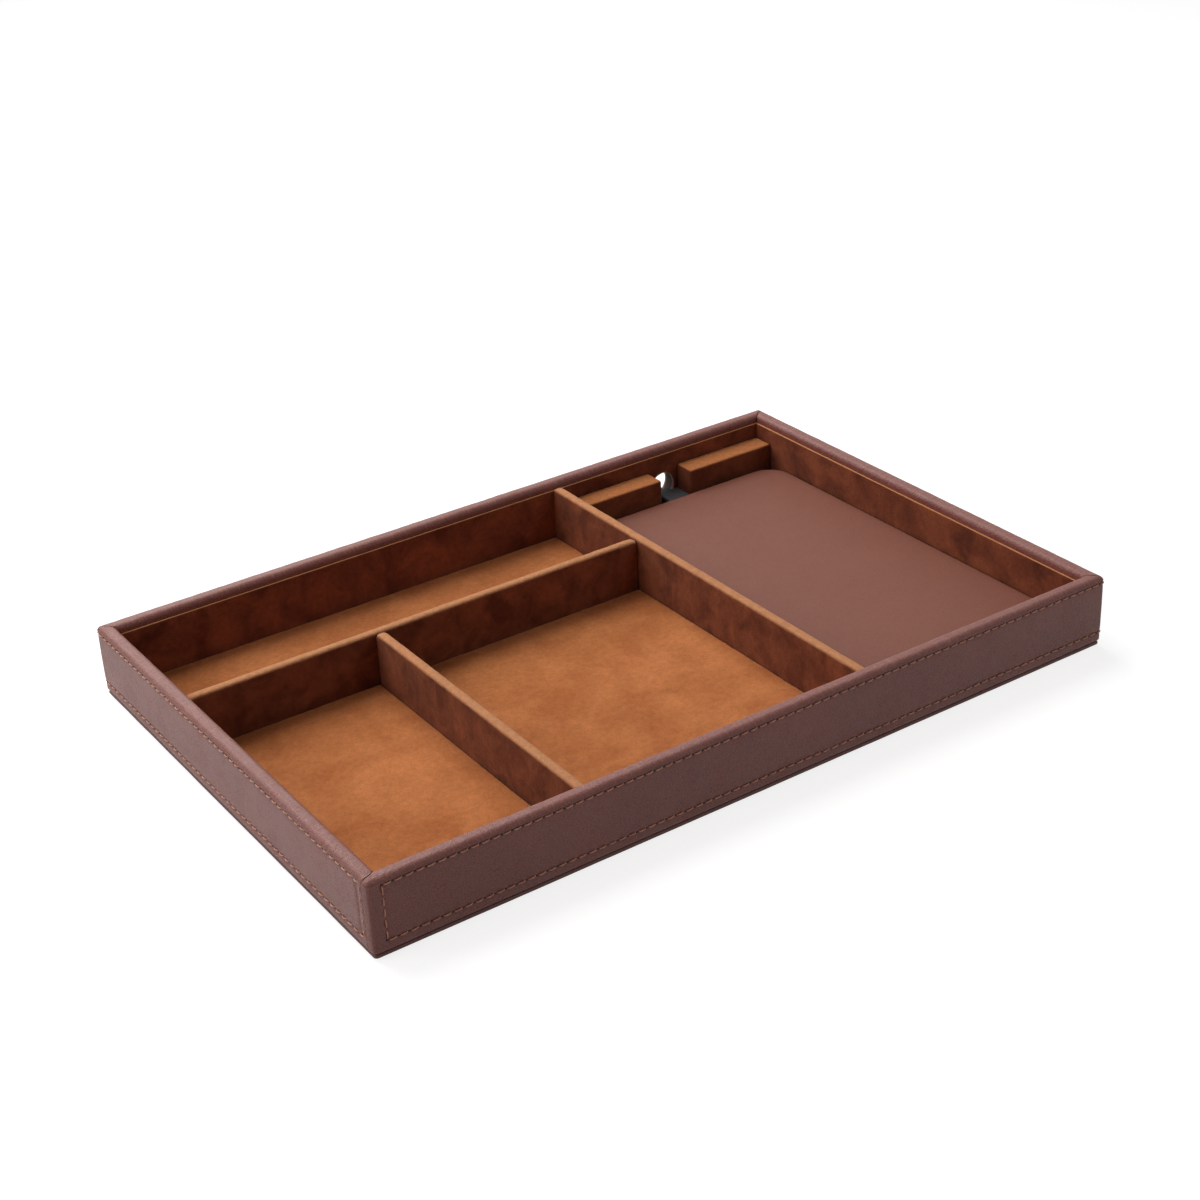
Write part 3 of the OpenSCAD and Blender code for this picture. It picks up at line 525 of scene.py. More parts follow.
plug_metal = plain_material("plug_metal", "b4b6ba", "cbcdd1", 0.28, 1.5, 0.01, Metallic=1.0)
plug_plastic = plain_material("plug_plastic", "141415", "1d1d1f", 0.55, 0.35, 0.03)
cable_jacket = plain_material("cable_jacket", "19191b", "242426", 0.5, 0.6, 0.02)
strap_weave = plain_material("strap_weave", "0f0f10", "232325", 0.95, 0.5, 0.12, Sheen_Weight=0.4)
white_plastic = plain_material("white_plastic", "dadad4", "e8e8e3", 0.4, 1.0, 0.01)
light_guide = plain_material("light_guide", "0c0908", "16110f", 0.3, 1.0, 0.01, Coat_Weight=0.5)
print("small finishes are made")

# %% [markdown]
# ## The cable
# A USB cable of 1 m leaves the plug, passes the hole in the back wall, sinks to the table and runs along
# the wall into a small hank. It is one tube swept along points: listed ones for the free stretches,
# a formula for the turns of the hank. A mesh tube is used and not a curve.

# %% The cable's route in millimetres
CABLE_R = 1.6
RUN_L, FOLD_R, TURN_STEP, LAYER_STEP, WAIST = 54.0, 9.6, 4.2, 3.8, 5.5
TURNS, CLIMB = 4.25, 0.25
HANK_X, HANK_Y, HANK_Z = -20.0, 129.6, 2.22
TURNS_IN = (TURNS - CLIMB) / 2
OUTER_FOLD_R = FOLD_R + TURN_STEP * TURNS_IN
LEAD_Y = HANK_Y - OUTER_FOLD_R

lead_points = [
    (103.8, 101.2, 8.9),
    (103.8, 105.2, 8.9),
    (103.8, 110.0, 8.8),
    (103.7, 114.0, 8.3),
    (102.9, 118.0, 7.0),
    (99.6, 122.0, 5.2),
    (94.0, 124.4, 3.4),
    (87.0, 124.6, 2.2),
    (78.8, 123.4, 1.7),
    (69.8, 121.4, 1.6),
    (59.8, 119.0, 1.6),
    (49.8, 116.6, 1.6),
    (39.8, 114.4, 1.7),
    (29.8, 112.6, 1.9),
    (19.8, 111.7, 2.1),
]
tail_points = [
    (-54.2, 111.6, 6.02),
    (-60.84, 112.56, 5.64),
    (-66.16, 114.4, 4.96),
    (-72.24, 116.8, 4.31),
    (-78.32, 118.72, 3.93),
    (-84.2, 119.6, 3.8),
    (-88.2, 119.6, 3.8),
]


def hank_point(t):
    """A point on the folded cable after t turns."""
    if t < TURNS_IN:
        radius = OUTER_FOLD_R - TURN_STEP * t
    elif t < TURNS_IN + CLIMB:
        radius = FOLD_R
    else:
        radius = FOLD_R + TURN_STEP * (t - TURNS_IN - CLIMB)
    climbed = min(1.0, max(0.0, (t - TURNS_IN) / CLIMB))
    z = HANK_Z + LAYER_STEP * (1 - math.cos(math.pi * climbed)) / 2
    f = t % 1.0
    half_turn = f % 0.5
    side = -1 if f < 0.5 else 1
    if half_turn < 0.25:
        along = RUN_L / 2 - RUN_L * half_turn / 0.25
        drawn_in = WAIST * (1 + math.cos(2 * math.pi * along / RUN_L)) / 2
        return Vector((HANK_X - side * along, HANK_Y + side * (radius - drawn_in), z))
    angle = math.pi * (half_turn - 0.25) / 0.25
    along = RUN_L / 2 + radius * math.sin(angle)
    return Vector((HANK_X + side * along, HANK_Y + side * radius * math.cos(angle), z))


def smooth_path(points, parts=8):
    """Points on a Catmull-Rom curve through the given ones."""
    knots = [Vector(p) for p in points]
    knots = [knots[0] * 2 - knots[1]] + knots + [knots[-1] * 2 - knots[-2]]
    path = []
    for a, b, c, d in zip(knots, knots[1:], knots[2:], knots[3:]):
        for i in range(parts):
            t = i / parts
            bend = (2 * a - 5 * b + 4 * c - d) * t * t + (3 * b - a - 3 * c + d) * t**3
            path.append(0.5 * (2 * b + (c - a) * t + bend))
    path.append(knots[-2])
    return path


lead_end = Vector((HANK_X + RUN_L / 2 + 2 * CABLE_R, LEAD_Y, HANK_Z))
lead = smooth_path(lead_points + [tuple(lead_end + Vector((4, 0, 0))), tuple(lead_end)])
HANK_RINGS = 204
hank = [hank_point(TURNS * i / HANK_RINGS) for i in range(HANK_RINGS + 1)]
tail_start = hank[-1] - Vector((2 * CABLE_R, 0, 0))
tail = smooth_path([tuple(tail_start)] + tail_points)
cable_path = lead + hank + tail


# %% Sweeping a round tube
def tube_mesh(path, radius_at, sides):
    """Points and faces of a closed tube along a path. radius_at gives the radius at a path index."""
    points = []
    across = None
    for i, middle in enumerate(path):
        ahead = path[min(i + 1, len(path) - 1)]
        behind = path[max(i - 1, 0)]
        along = (ahead - behind).normalized()
        if across is None:
            across = along.cross(Vector((0, 0, 1))).normalized()
        across = (across - along * across.dot(along)).normalized()
        up = across.cross(along)
        for k in range(sides):
            angle = 2 * math.pi * k / sides
            points.append(middle + radius_at(i) * (across * math.cos(angle) + up * math.sin(angle)))
    faces = grid_faces(len(path), sides)
    faces.append(tuple(range(sides)))
    faces.append(tuple(range(len(points) - 1, len(points) - 1 - sides, -1)))
    return points, faces


points, faces = tube_mesh(cable_path, lambda i: CABLE_R, 16)
cable_nodes = ("cord_lead", "cord_hank", "cord_tail")
cable = make_piece("usb_cable", points, faces, cable_jacket, None, cable_nodes)
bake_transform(cable)

# %% [markdown]
# ## The leather walls
# Each of two long leather strips covers two walls. It is turned over the rim, rounded at one corner and cut
# at the other, where the next strip begins in a dark seam. The strip is lofted: a row of points round the
# wall's cross-section, repeated along the wall. Points on the outside are pushed in a little where the
# thread pulls the leather down, which a plain bump map could not show at the outline.

# %% The wall's cross-section
ROW_LOW, ROW_HIGH = 6.4, 28.2
STITCH_IN = 5.4
SEAM_WRAP = 3.2
SEAM_GAP = 0.5


def arc(cx, cz, radius, start_deg, end_deg, steps):
    """Points on an arc, in the section's own (inwards, height) directions."""
    turn = [math.radians(start_deg + (end_deg - start_deg) * i / steps) for i in range(steps + 1)]
    return [(cx + radius * math.cos(a), cz + radius * math.sin(a)) for a in turn]


outer_heights = [3.6, 4.0, 4.4, 5.0, 5.5, 5.9, 6.2, 6.4, 6.6, 6.9, 7.3, 7.8, 8.5, 9.5]
outer_heights += [11.0 + 1.5 * i for i in range(10)]
outer_heights += [25.6, 26.4, 27.0, 27.4, 27.8, 28.05, 28.25, 28.5]
FOOT_R = 0.9
section = arc(FOOT_R, BASE_Z + FOOT_R, FOOT_R, 270, 180, 4)
section += [(0.0, z) for z in outer_heights]
section += arc(RIM_R, RIM_Z - RIM_R, RIM_R, 180, 90, 10)
section += arc(WALL_T - RIM_R, RIM_Z - RIM_R, RIM_R, 90, 0, 8)
section += [(WALL_T, 26.0), (WALL_T, 15.0), (WALL_T, BASE_Z)]
section += [(WALL_T - SKIN_T, BASE_Z), (WALL_T - SKIN_T, RIM_Z - RIM_R)]
section += [(4.4, 30.0), (WALL_T / 2, 30.1), (1.8, 30.0)]
section += [(SKIN_T, RIM_Z - RIM_R), (SKIN_T, BASE_Z)]
print("cross-section:", len(section), "points")

# %% Where the strip runs
HALF_W, HALF_D = TRAY_W / 2, TRAY_D / 2
FRONT_RUN = TRAY_W - 2 * CORNER_R
TURN_RUN = math.pi / 2 * CORNER_R
SIDE_RUN = TRAY_D - 2 * CORNER_R
ROW_START = STITCH_IN - CORNER_R
ROW_END = FRONT_RUN + TURN_RUN + SIDE_RUN - (STITCH_IN - CORNER_R)
STITCH_COUNT = 130
STITCH_PITCH = (ROW_END - ROW_START) / STITCH_COUNT


def spread(start, end, step):
    """Evenly spaced values about a step apart, both ends included."""
    count = max(1, round(abs(end - start) / step))
    return [start + (end - start) * i / count for i in range(count + 1)]


CREASE_HALF = 0.45
CREASE_DEPTH = 0.38
SEAM_ZONE, SEAM_STEP = 9, 0.5
row_step = STITCH_PITCH / 4
front_run = spread(0, SEAM_ZONE, SEAM_STEP)
front_run += spread(SEAM_ZONE, FRONT_RUN - CREASE_HALF, row_step)[1:] + [FRONT_RUN]
side_run = [0, CREASE_HALF] + spread(CREASE_HALF, SIDE_RUN - SEAM_ZONE, row_step)[1:]
side_run += spread(SIDE_RUN - SEAM_ZONE, SIDE_RUN, SEAM_STEP)[1:]
strip_stations = [("seam", t) for t in (0.0, 0.5)]
strip_stations += [("near_corner", t / 6) for t in range(7)]
strip_stations += [("front", d) for d in front_run[1:]]
strip_stations += [("far_corner", t / 8) for t in range(1, 9)]
strip_stations += [("side", d) for d in side_run[1:-1]]
strip_stations += [("end", 1.0)]


def station_place(kind, t, inward):
    """Place, outward direction and distance along the row, for one station and one depth into the wall."""
    reach = max(CORNER_R - inward, 0.0)
    inset = max(CORNER_R, inward)
    seam = max(SEAM_WRAP, inward)
    if kind == "seam":
        y = -HALF_D + seam + (inset - seam) * t
        return (-HALF_W + inward, y), (-1.0, 0.0), -TURN_RUN
    if kind == "near_corner":
        angle = math.pi * (1 + t / 2)
        out = (math.cos(angle), math.sin(angle))
        return (-HALF_W + inset + reach * out[0], -HALF_D + inset + reach * out[1]), out, -TURN_RUN * (1 - t)
    if kind == "front":
        share = t / FRONT_RUN
        return (-HALF_W + inset + share * (TRAY_W - 2 * inset), -HALF_D + inward), (0.0, -1.0), t
    if kind == "far_corner":
        angle = math.pi * (1.5 + t / 2)
        out = (math.cos(angle), math.sin(angle))
        x, y = HALF_W - inset + reach * out[0], -HALF_D + inset + reach * out[1]
        return (x, y), out, FRONT_RUN + TURN_RUN * t
    start, stop = -HALF_D + inset, HALF_D - seam - SEAM_GAP
    if kind == "side":
        return (HALF_W - inward, start + (stop - start) * t / SIDE_RUN), (1.0, 0.0), FRONT_RUN + TURN_RUN + t
    return (HALF_W - inward, stop), (1.0, 0.0), FRONT_RUN + TURN_RUN + SIDE_RUN


def stitch_pull(distance, z):
    """How far the thread pulls the leather in at a place on the outer face."""
    phase = (distance - ROW_START) / STITCH_PITCH
    needle = 0.5 + 0.5 * math.cos(2 * math.pi * phase)
    pull = 0.0
    if ROW_START - 0.5 <= distance <= ROW_END + 0.5:
        for row in (ROW_LOW, ROW_HIGH):
            pull += 0.16 * math.exp(-(((z - row) / 1.2) ** 2))
            pull += (0.10 + 0.22 * needle) * math.exp(-(((z - row) / 0.5) ** 2))
    if ROW_LOW <= z <= ROW_HIGH:
        for row in (ROW_START, ROW_END):
            pull += 0.12 * math.exp(-(((distance - row) / 1.2) ** 2))
            pull += 0.18 * math.exp(-(((distance - row) / 0.5) ** 2))
    return pull


def puff(z):
    """The leather stands proud between the rows, and again between the upper row and the rim."""
    between = math.sin(math.pi * min(1, max(0, (z - BASE_Z) / (ROW_HIGH - BASE_Z))))
    return 0.12 * between + 0.20 * math.exp(-(((z - 29.5) / 0.55) ** 2))


def wall_strip(turned):
    """The strip's points; turned gives the same strip for the opposite two walls."""
    points = []
    for kind, t in strip_stations:
        crease = 0.0
        if kind == "far_corner" or (kind == "side" and t == 0) or (kind == "front" and t == FRONT_RUN):
            crease = CREASE_DEPTH
        for inward, z in section:
            (x, y), out, distance = station_place(kind, t, inward)
            swell = 0.0
            if inward < SKIN_T and z < 30.4:
                swell = puff(z) - stitch_pull(distance, z)
                swell += 0.10 * lump(distance, z, 7.0 if turned else 0.0, 17.0)
                swell += 0.05 * lump(distance, z, 40.0, 5.0)
                if kind == "seam":
                    swell += 0.22
                elif kind == "end":
                    swell -= 0.25
                swell *= 1 - inward / SKIN_T if z > BASE_Z + 1 else 0.5
            if z > 30.02:
                fold = lump(distance / 1.5, inward / 4, 3.0 if turned else 9.0, 1.0)
                z += 0.07 * fold + 0.10 * lump(distance, inward, 5.0, 7.0)
                if inward > CORNER_R * 0.6:
                    z -= crease
            if turned:
                x, y, out = -x, -y, (-out[0], -out[1])
            points.append((x + out[0] * swell, y + out[1] * swell, z))
    return points


def strip_faces():
    faces = grid_faces(len(strip_stations), len(section))
    total = len(strip_stations) * len(section)
    faces.append(tuple(range(len(section))))
    faces.append(tuple(range(total - 1, total - 1 - len(section), -1)))
    return faces


strips = {}
for name, turned in (("leather_front_right", False), ("leather_left_back", True)):
    points, faces = wall_strip(turned), strip_faces()
    strips[name] = make_piece(name + "_strip", points, faces, outer_leather, "tray", (name,))


# %% The base's wrapped edge
def rounded_ring(inward, radius):
    """Points round the tray's outline, moved in, with its corners rounded."""
    reach = max(radius - inward, 0.3)
    half_x, half_y = HALF_W - inward - reach, HALF_D - inward - reach
    corners = ((1, 1), (-1, 1), (-1, -1), (1, -1))
    ring = []
    for quarter, (sx, sy) in enumerate(corners):
        for step in range(7):
            angle = math.pi / 2 * (quarter + step / 6)
            ring.append((sx * half_x + reach * math.cos(angle), sy * half_y + reach * math.sin(angle)))
        start = ring[-1]
        next_x, next_y = corners[(quarter + 1) % 4]
        turn = math.pi / 2 * (quarter + 1)
        end = (next_x * half_x + reach * math.cos(turn), next_y * half_y + reach * math.sin(turn))
        count = 60 if quarter in (0, 2) else 40
        for step in range(1, count):
            share = step / count
            ring.append((start[0] + (end[0] - start[0]) * share, start[1] + (end[1] - start[1]) * share))
    return ring


BASE_HEM = 12.0
base_profile = [(BASE_HEM, 2.35), (2.4, 2.3), (1.4, 2.2), (0.75, 1.95), (0.35, 1.55)]
base_profile += [(0.25, 1.15), (0.4, 0.75), (0.9, 0.45), (2.0, 0.4), (BASE_HEM, 0.4)]
rings = [rounded_ring(inward, 1.8) for inward, z in base_profile]
ring_size = len(rings[0])
base_points = []
for ring, (inward, z) in zip(rings, base_profile):
    for x, y in ring:
        wave = 0.10 * lump(x, y, z, 14.0) if inward < 2 else 0.0
        base_points.append((x * (1 + wave / HALF_W), y * (1 + wave / HALF_D), z))
base_faces = grid_faces(len(rings), ring_size)
last_ring = (len(rings) - 1) * ring_size
for k in range(ring_size):
    after = (k + 1) % ring_size
    base_faces.append((k, after, last_ring + after, last_ring + k))
make_piece("base_wrap", base_points, base_faces, base_leather_painted_shade, "tray", ("base_cover",))


# %% The cable hole in the back strip
def cut_with(piece, cutter_points, cutter_faces):
    """Cuts a closed shape out of a piece and keeps the result as its mesh."""
    mesh = bpy.data.meshes.new("cutter")
    mesh.from_pydata([Vector(p) * MM for p in cutter_points], [], cutter_faces)
    cutter = bpy.data.objects.new("cutter", mesh)
    scene.collection.objects.link(cutter)
    cut = piece.modifiers.new("cut", "BOOLEAN")
    cut.operation = "DIFFERENCE"
    cut.solver = "EXACT"
    cut.object = cutter
    result = bpy.data.meshes.new_from_object(piece.evaluated_get(bpy.context.evaluated_depsgraph_get()))
    piece.modifiers.remove(cut)
    old = piece.data
    piece.data = result
    bpy.data.meshes.remove(old)
    bpy.data.objects.remove(cutter)
    print(f"{piece.name}: cut, now {len(result.polygons)} faces")


HOLE_R, HOLE_Z = 6.5, 12.0
ring_a = [Vector((BAY_X, 99.0, HOLE_Z)), Vector((BAY_X, 112.0, HOLE_Z))]
points, faces = tube_mesh(ring_a, lambda i: HOLE_R, 40)
cut_with(strips["leather_left_back"], points, faces)

# %% [markdown]
# ## The thread
# The seams are decorative lockstitch in a tan thread: short bridges that leave one needle hole and dive
# into the next. Each bridge is a small bent tube, since at this size a painted line would look flat, and
# each hole a near-black cap, painted shade inside the hole.

# %% One stitch and one needle hole
random.seed(11)
THREAD_R = 0.25
STITCH_L = 2.8
SLANT = 0.16
BRIDGE = ((0.0, -0.55), (0.08, -0.12), (0.25, 0.06), (0.5, 0.12), (0.75, 0.06), (0.92, -0.12), (1.0, -0.55))
NEEDLE_R = 0.58
UPRIGHT_GAP = 0.6


def row_place(distance, z, lift):
    """A point on the outer face of the front and right walls, lifted off the leather."""
    if distance < FRONT_RUN:
        x, y, out = -HALF_W + CORNER_R + distance, -HALF_D, Vector((0, -1, 0))
    elif distance < FRONT_RUN + TURN_RUN:
        angle = math.pi * (1.5 + 0.5 * (distance - FRONT_RUN) / TURN_RUN)
        out = Vector((math.cos(angle), math.sin(angle), 0))
        x, y = HALF_W - CORNER_R + CORNER_R * out.x, -HALF_D + CORNER_R + CORNER_R * out.y
    else:
        x, y, out = HALF_W, -HALF_D + CORNER_R + distance - FRONT_RUN - TURN_RUN, Vector((1, 0, 0))
    return Vector((x, y, z)) + out * lift


def add_stitch(points, faces, start, stop, slanted=1):
    """Adds a thread bridge between two (distance, height) places."""
    tilt = random.uniform(-0.06, 0.06)
    path = []
    for share, lift in BRIDGE:
        distance = start[0] + (stop[0] - start[0]) * share
        height = start[1] + (stop[1] - start[1]) * share + (tilt + SLANT * slanted) * (share - 0.5) * 2
        path.append(row_place(distance, height, lift))
    tube_points, tube_faces = tube_mesh(path, lambda i: THREAD_R * (0.8 if i in (0, 6) else 1.0), 7)
    shift = len(points)
    points.extend(tube_points)
    faces.extend(tuple(v + shift for v in face) for face in tube_faces)


def add_needle_hole(points, faces, distance, z):
    """Adds a low dark cap at a needle hole: painted shade inside the hole."""
    middle = row_place(distance, z, -0.16)
    side = (row_place(distance + 0.1, z, -0.16) - middle).normalized()
    up = Vector((0, 0, 1))
    out = (row_place(distance, z, 1) - row_place(distance, z, 0)).normalized()
    shift = len(points)
    points.append(middle + out * 0.05)
    sides = 8
    for k in range(sides):
        angle = 2 * math.pi * k / sides
        around = side * math.cos(angle) + up * 0.8 * math.sin(angle)
        points.append(middle + NEEDLE_R * around - out * 0.12)
    for k in range(sides):
        faces.append((shift, shift + 1 + k, shift + 1 + (k + 1) % sides))
    faces.append(tuple(shift + 1 + k for k in range(sides - 1, -1, -1)))


# %% All stitches of two walls
def sewn_rows():
    thread_points, thread_faces, hole_points, hole_faces = [], [], [], []
    gap = (STITCH_PITCH - STITCH_L) / 2
    for row in (ROW_LOW, ROW_HIGH):
        for i in range(STITCH_COUNT):
            start = ROW_START + i * STITCH_PITCH
            add_stitch(thread_points, thread_faces, (start + gap, row), (start + STITCH_PITCH - gap, row))
            add_needle_hole(hole_points, hole_faces, start, row)
        add_needle_hole(hole_points, hole_faces, ROW_END, row)
    upright_count = 5
    upright_pitch = (ROW_HIGH - ROW_LOW) / upright_count
    for distance in (ROW_START, ROW_END):
        for i in range(upright_count):
            low = ROW_LOW + i * upright_pitch
            start, stop = low + UPRIGHT_GAP, low + upright_pitch - UPRIGHT_GAP
            add_stitch(thread_points, thread_faces, (distance, start), (distance, stop), 0)
            if i:
                add_needle_hole(hole_points, hole_faces, distance, low)
    return thread_points, thread_faces, hole_points, hole_faces


thread_points, thread_faces, hole_points, hole_faces = sewn_rows()
for words, sign in (("front_right", 1), ("left_back", -1)):
    turned_thread = [(sign * p[0], sign * p[1], p[2]) for p in thread_points]
    turned_holes = [(sign * p[0], sign * p[1], p[2]) for p in hole_points]
    make_piece(f"stitches_{words}", turned_thread, thread_faces, thread, "tray")
    make_piece(f"needle_holes_{words}", turned_holes, hole_faces, needle_hole_painted_shade, "tray")

# %% [markdown]
# ## Suede
# Suede glued over board never has a sharp edge: the nap rounds it off. Each floor pad and each half of the
# ledge is a rounded box with a slightly uneven surface, and each divider is a sleeve with a round top and
# a fuzzy outline.

# %% A rounded suede block
def edge_ladder(low, high, radius, step):
    """Positions from low to high that crowd where the edges round off."""
    ends = [radius * (1 - math.cos(math.radians(a))) for a in (0, 30, 60, 90)]
    middle = spread(low + radius, high - radius, step)
    return [low + e for e in ends[:-1]] + middle + [high - e for e in reversed(ends[:-1])]


def soft_box(low, high, radius, step, fuzz, seed):
    """Points and faces of a box with round edges and a slightly uneven surface."""
    points, faces, known = [], [], {}
    ladders = [edge_ladder(low[i], high[i], radius, step) for i in range(3)]

    def rounded(corner):
        inner = Vector([min(max(corner[i], low[i] + radius), high[i] - radius) for i in range(3)])
        out = Vector(corner) - inner
        if out.length < 1e-9:
            return Vector(corner)
        out.normalize()
        rough = fuzz * (lump(*corner, 4.0) + 0.6 * lump(corner[0] + seed, corner[1], corner[2], 1.2))
        return inner + out * (radius + rough)

    def point_index(corner):
        key = tuple(round(c, 4) for c in corner)
        if key not in known:
            known[key] = len(points)
            points.append(rounded(corner))
        return known[key]

    for axis in range(3):
        a, b = [i for i in range(3) if i != axis]
        for level in (low[axis], high[axis]):
            for a0, a1 in zip(ladders[a], ladders[a][1:]):
                for b0, b1 in zip(ladders[b], ladders[b][1:]):
                    square = []
                    for va, vb in ((a0, b0), (a1, b0), (a1, b1), (a0, b1)):
                        corner = [0.0, 0.0, 0.0]
                        corner[axis], corner[a], corner[b] = level, va, vb
                        square.append(point_index(corner))
                    faces.append(tuple(square))
    return points, faces


# %% Floor pads
def node_box(name):
    """A CAD node's corners in millimetres."""
    low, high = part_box(name)
    return [v / MM for v in low], [v / MM for v in high]


for seed, name in enumerate(("floor_pad_back", "floor_pad_left", "floor_pad_middle", "floor_pad_charger")):
    low, high = node_box(name)
    points, faces = soft_box(low, high, 0.9, 2.5, 0.10, seed * 50)
    make_piece(name + "_suede", points, faces, floor_suede, "tray", (name,))

# %% Ledge behind the pad
WAY_HALF = 8.0
low, high = node_box("charger_ledge")
ledge_points, ledge_faces = [], []
for block_low, block_high, radius in (
    (low, [BAY_X - WAY_HALF, high[1], high[2]], 1.2),
    ([BAY_X + WAY_HALF, low[1], low[2]], high, 1.2),
    ([BAY_X - WAY_HALF - 0.6, low[1] + 0.2, low[2]], [BAY_X + WAY_HALF + 0.6, high[1], low[2] + 0.7], 0.3),
):
    points, faces = soft_box(block_low, block_high, radius, 1.6, 0.08, 7)
    shift = len(ledge_points)
    ledge_points.extend(points)
    ledge_faces.extend(tuple(v + shift for v in face) for face in faces)
ledge_node = ("charger_ledge",)
make_piece("charger_ledge_suede", ledge_points, ledge_faces, ledge_suede_painted_shade, "tray", ledge_node)


# %% Linings
for seed, name in enumerate(("liner_front", "liner_left", "liner_right", "liner_back")):
    low, high = node_box(name)
    points, faces = soft_box(low, high, 0.42, 2.0, 0.05, seed * 31)
    lining = make_piece(name + "_suede", points, faces, lining_suede_painted_shade, "tray", (name,))
points, faces = tube_mesh(ring_a, lambda i: HOLE_R, 40)
cut_with(lining, points, faces)


# %% Divider sleeves
DIVIDER_R = 1.6


def sleeve(low, high, along_axis, end_drop):
    """A suede sleeve over a board, with a round fuzzy top that drops at its ends."""
    across_axis = 1 - along_axis
    width = high[across_axis] - low[across_axis]
    top = high[2]
    profile = [(0.0, low[2])] + [(0.0, low[2] + h) for h in (6, 12, 17, 20, 21.5, 22.5, 23.2)]
    profile += arc(DIVIDER_R, top - DIVIDER_R, DIVIDER_R, 180, 90, 6)
    profile += [(width - u, z) for u, z in reversed(profile)]
    length = high[along_axis] - low[along_axis]
    stations = spread(0, length, 0.8)
    points = []
    for s in stations:
        near_end = min(s, length - s)
        drop = end_drop * max(0.0, 1 - near_end / 2.4) ** 2
        for u, z in profile:
            z = z - drop * max(0.0, (z - top + 6) / 6)
            fuzz = 0.10 * lump(s, z * 2, u * 3, 1.1) + 0.10 * lump(s, z, u, 5.0)
            side = -1 if u < width / 2 else 1
            spot = [0.0, 0.0, 0.0]
            spot[along_axis] = low[along_axis] + s
            rounding = max(0.0, (z - top + DIVIDER_R) / DIVIDER_R)
            spot[across_axis] = low[across_axis] + u + side * fuzz * (1 - rounding)
            spot[2] = z + fuzz * rounding
            points.append(spot)
    faces = grid_faces(len(stations), len(profile))
    faces.append(tuple(range(len(profile))))
    faces.append(tuple(range(len(points) - 1, len(points) - 1 - len(profile), -1)))
    return points, faces


for name, along_axis, end_drop, end_gap in (
    ("divider_suede_long", 1, 0.3, 0.0),
    ("divider_suede_cross", 0, 0.5, 0.6),
    ("divider_suede_short", 1, 0.5, 0.6),
):
    low, high = node_box(name)
    high[along_axis] -= end_gap
    points, faces = sleeve(low, high, along_axis, end_drop)
    make_piece(name + "_sleeve", points, faces, divider_suede, "tray", (name,))

# %% [markdown]
# ## The strap
# The folded cable is held by a length of woven tape that wraps round it once and sticks to its own end. A
# band pulled tight has no free cloth to simulate, so the tape is swept along its loop, with thick woven
# edges, fine ribs across it and its free end lying on top.

# %% The loop of tape
TAPE_T = 0.6
LOOP_R = 1.9
HIDDEN_END, FREE_END = 5.0, 8.0
CLIMB_START, CLIMB_L = 3.5, 3.0
END_L, END_NARROWS = 1.5, 0.16
RIB_PITCH, RIB_DEPTH = 1.6, 0.03
TAPE_STEP = 0.4
TAPE_EDGE = ((0.0, 0.0), (0.1, 0.2), (0.35, 0.3), (0.9, 0.3), (1.1, 0.26), (3.0, 0.26), (5.0, 0.26))


def tape_loop(low, high):
    """Places (y, z, angle of the outer side) along the tape, from its hidden end round to its free end."""
    y0, y1 = low[1] + TAPE_T / 2, high[1] - TAPE_T / 2
    z0, z1 = low[2] + TAPE_T / 2, high[2] - TAPE_T / 2
    middle = (y0 + y1) / 2
    corners = (
        (y0 + LOOP_R, z1 - LOOP_R, 90),
        (y0 + LOOP_R, z0 + LOOP_R, 180),
        (y1 - LOOP_R, z0 + LOOP_R, 270),
        (y1 - LOOP_R, z1 - LOOP_R, 360),
    )
    rough = [(middle + HIDDEN_END, z1, math.pi / 2)]
    for y, z, first in corners:
        for step in range(7):
            angle = math.radians(first + 15 * step)
            rough.append((y + LOOP_R * math.cos(angle), z + LOOP_R * math.sin(angle), angle))
    rough.append((middle - FREE_END, z1, math.radians(450)))
    places = []
    for a, b in zip(rough, rough[1:]):
        count = max(1, round(math.hypot(b[0] - a[0], b[1] - a[1]) / TAPE_STEP))
        for i in range(count):
            share = i / count
            places.append((a[0] + (b[0] - a[0]) * share, a[1] + (b[1] - a[1]) * share, a[2]))
    places.append(rough[-1])
    return places, middle


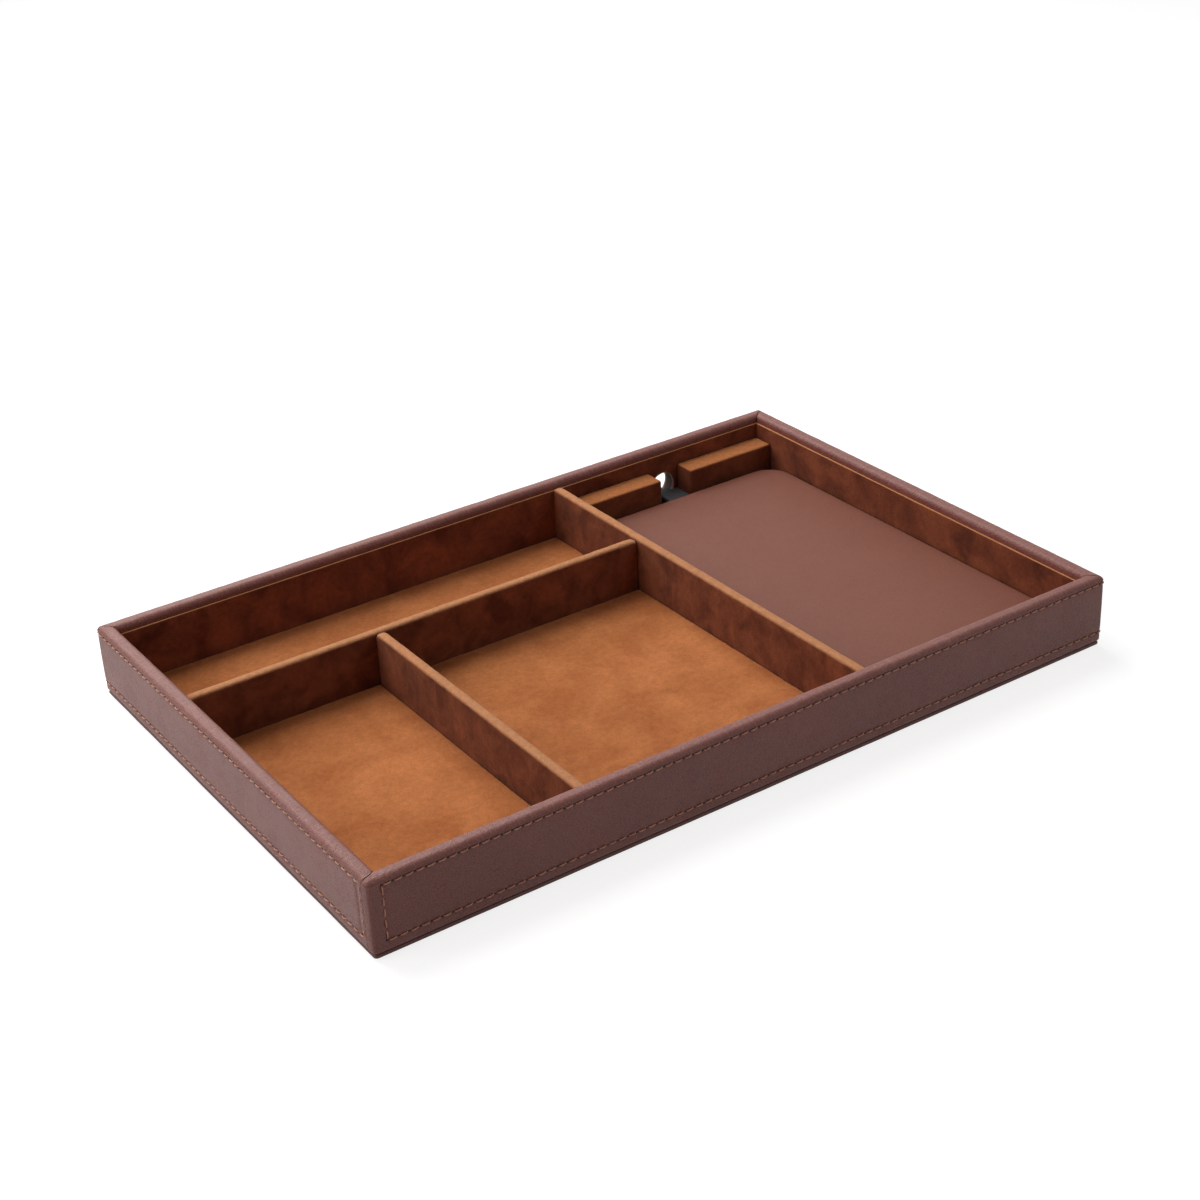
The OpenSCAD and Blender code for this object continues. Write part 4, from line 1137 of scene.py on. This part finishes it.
tape_low, tape_high = node_box("cord_tie")
places, tape_middle = tape_loop(tape_low, tape_high)
tape_half = (tape_high[0] - tape_low[0]) / 2
tape_x = tape_low[0] + tape_half
edge = [(u - tape_half, v) for u, v in TAPE_EDGE]
edge += [(-u, v) for u, v in reversed(edge[:-1])]
section = edge + [(u, -v) for u, v in reversed(edge[1:-1])]
points = []
gone = 0.0
for i, (y, z, angle) in enumerate(places):
    if i:
        gone += math.hypot(y - places[i - 1][0], z - places[i - 1][1])
    rise = 0.0
    if angle > math.radians(449):
        climbed = min(1.0, max(0.0, (tape_middle + HIDDEN_END + CLIMB_START - y) / CLIMB_L))
        rise = (TAPE_T + 0.04) * climbed * climbed * (3 - 2 * climbed)
    near_end = max(0.0, END_L - (len(places) - 1 - i) * TAPE_STEP) / END_L
    narrowed = 1 - END_NARROWS * near_end * near_end
    rib = RIB_DEPTH * (1 - math.cos(2 * math.pi * gone / RIB_PITCH)) / 2
    for u, v in section:
        away = rise + (v - math.copysign(rib, v) if abs(v) > 0.25 else v)
        points.append((tape_x + u * narrowed, y + away * math.cos(angle), z + away * math.sin(angle)))
faces = grid_faces(len(places), len(section))
faces.append(tuple(range(len(section))))
faces.append(tuple(range(len(points) - 1, len(points) - 1 - len(section), -1)))
make_piece("cable_strap", points, faces, strap_weave, "tray", ("cord_tie",))

# %% [markdown]
# ## Finishes on the exact parts
# Boards, shells, plugs and the parts inside the pad keep their CAD shapes and only take a finish.

# %% Painting the CAD nodes
def paint(finish, *names):
    for name in names:
        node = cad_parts[name]
        node.data.materials.clear()
        node.data.materials.append(finish)
    print(f"{finish.name}: {', '.join(names)}")


paint(base_felt, "base_felt")
paint(raw_board, "base_board", "wall_board_front", "wall_board_back", "wall_board_left", "wall_board_right")
paint(raw_board, "divider_board_long", "divider_board_cross", "divider_board_short")
paint(pad_leather, "pad_leather")
paint(pad_shell, "pad_upper_shell", "pad_lower_shell")
paint(foot_rubber, "pad_feet")
paint(copper, "charging_coil")
paint(ferrite, "ferrite_plate")
paint(circuit, "circuit_board")
paint(light_guide, "status_led")
paint(plug_metal, "usb_c_socket", "usb_c_shell", "usb_a_shell")
paint(plug_plastic, "usb_c_grip", "usb_c_relief", "usb_a_relief", "usb_a_grip")
paint(white_plastic, "usb_a_insulator")

# %% A last message
print("cable made")
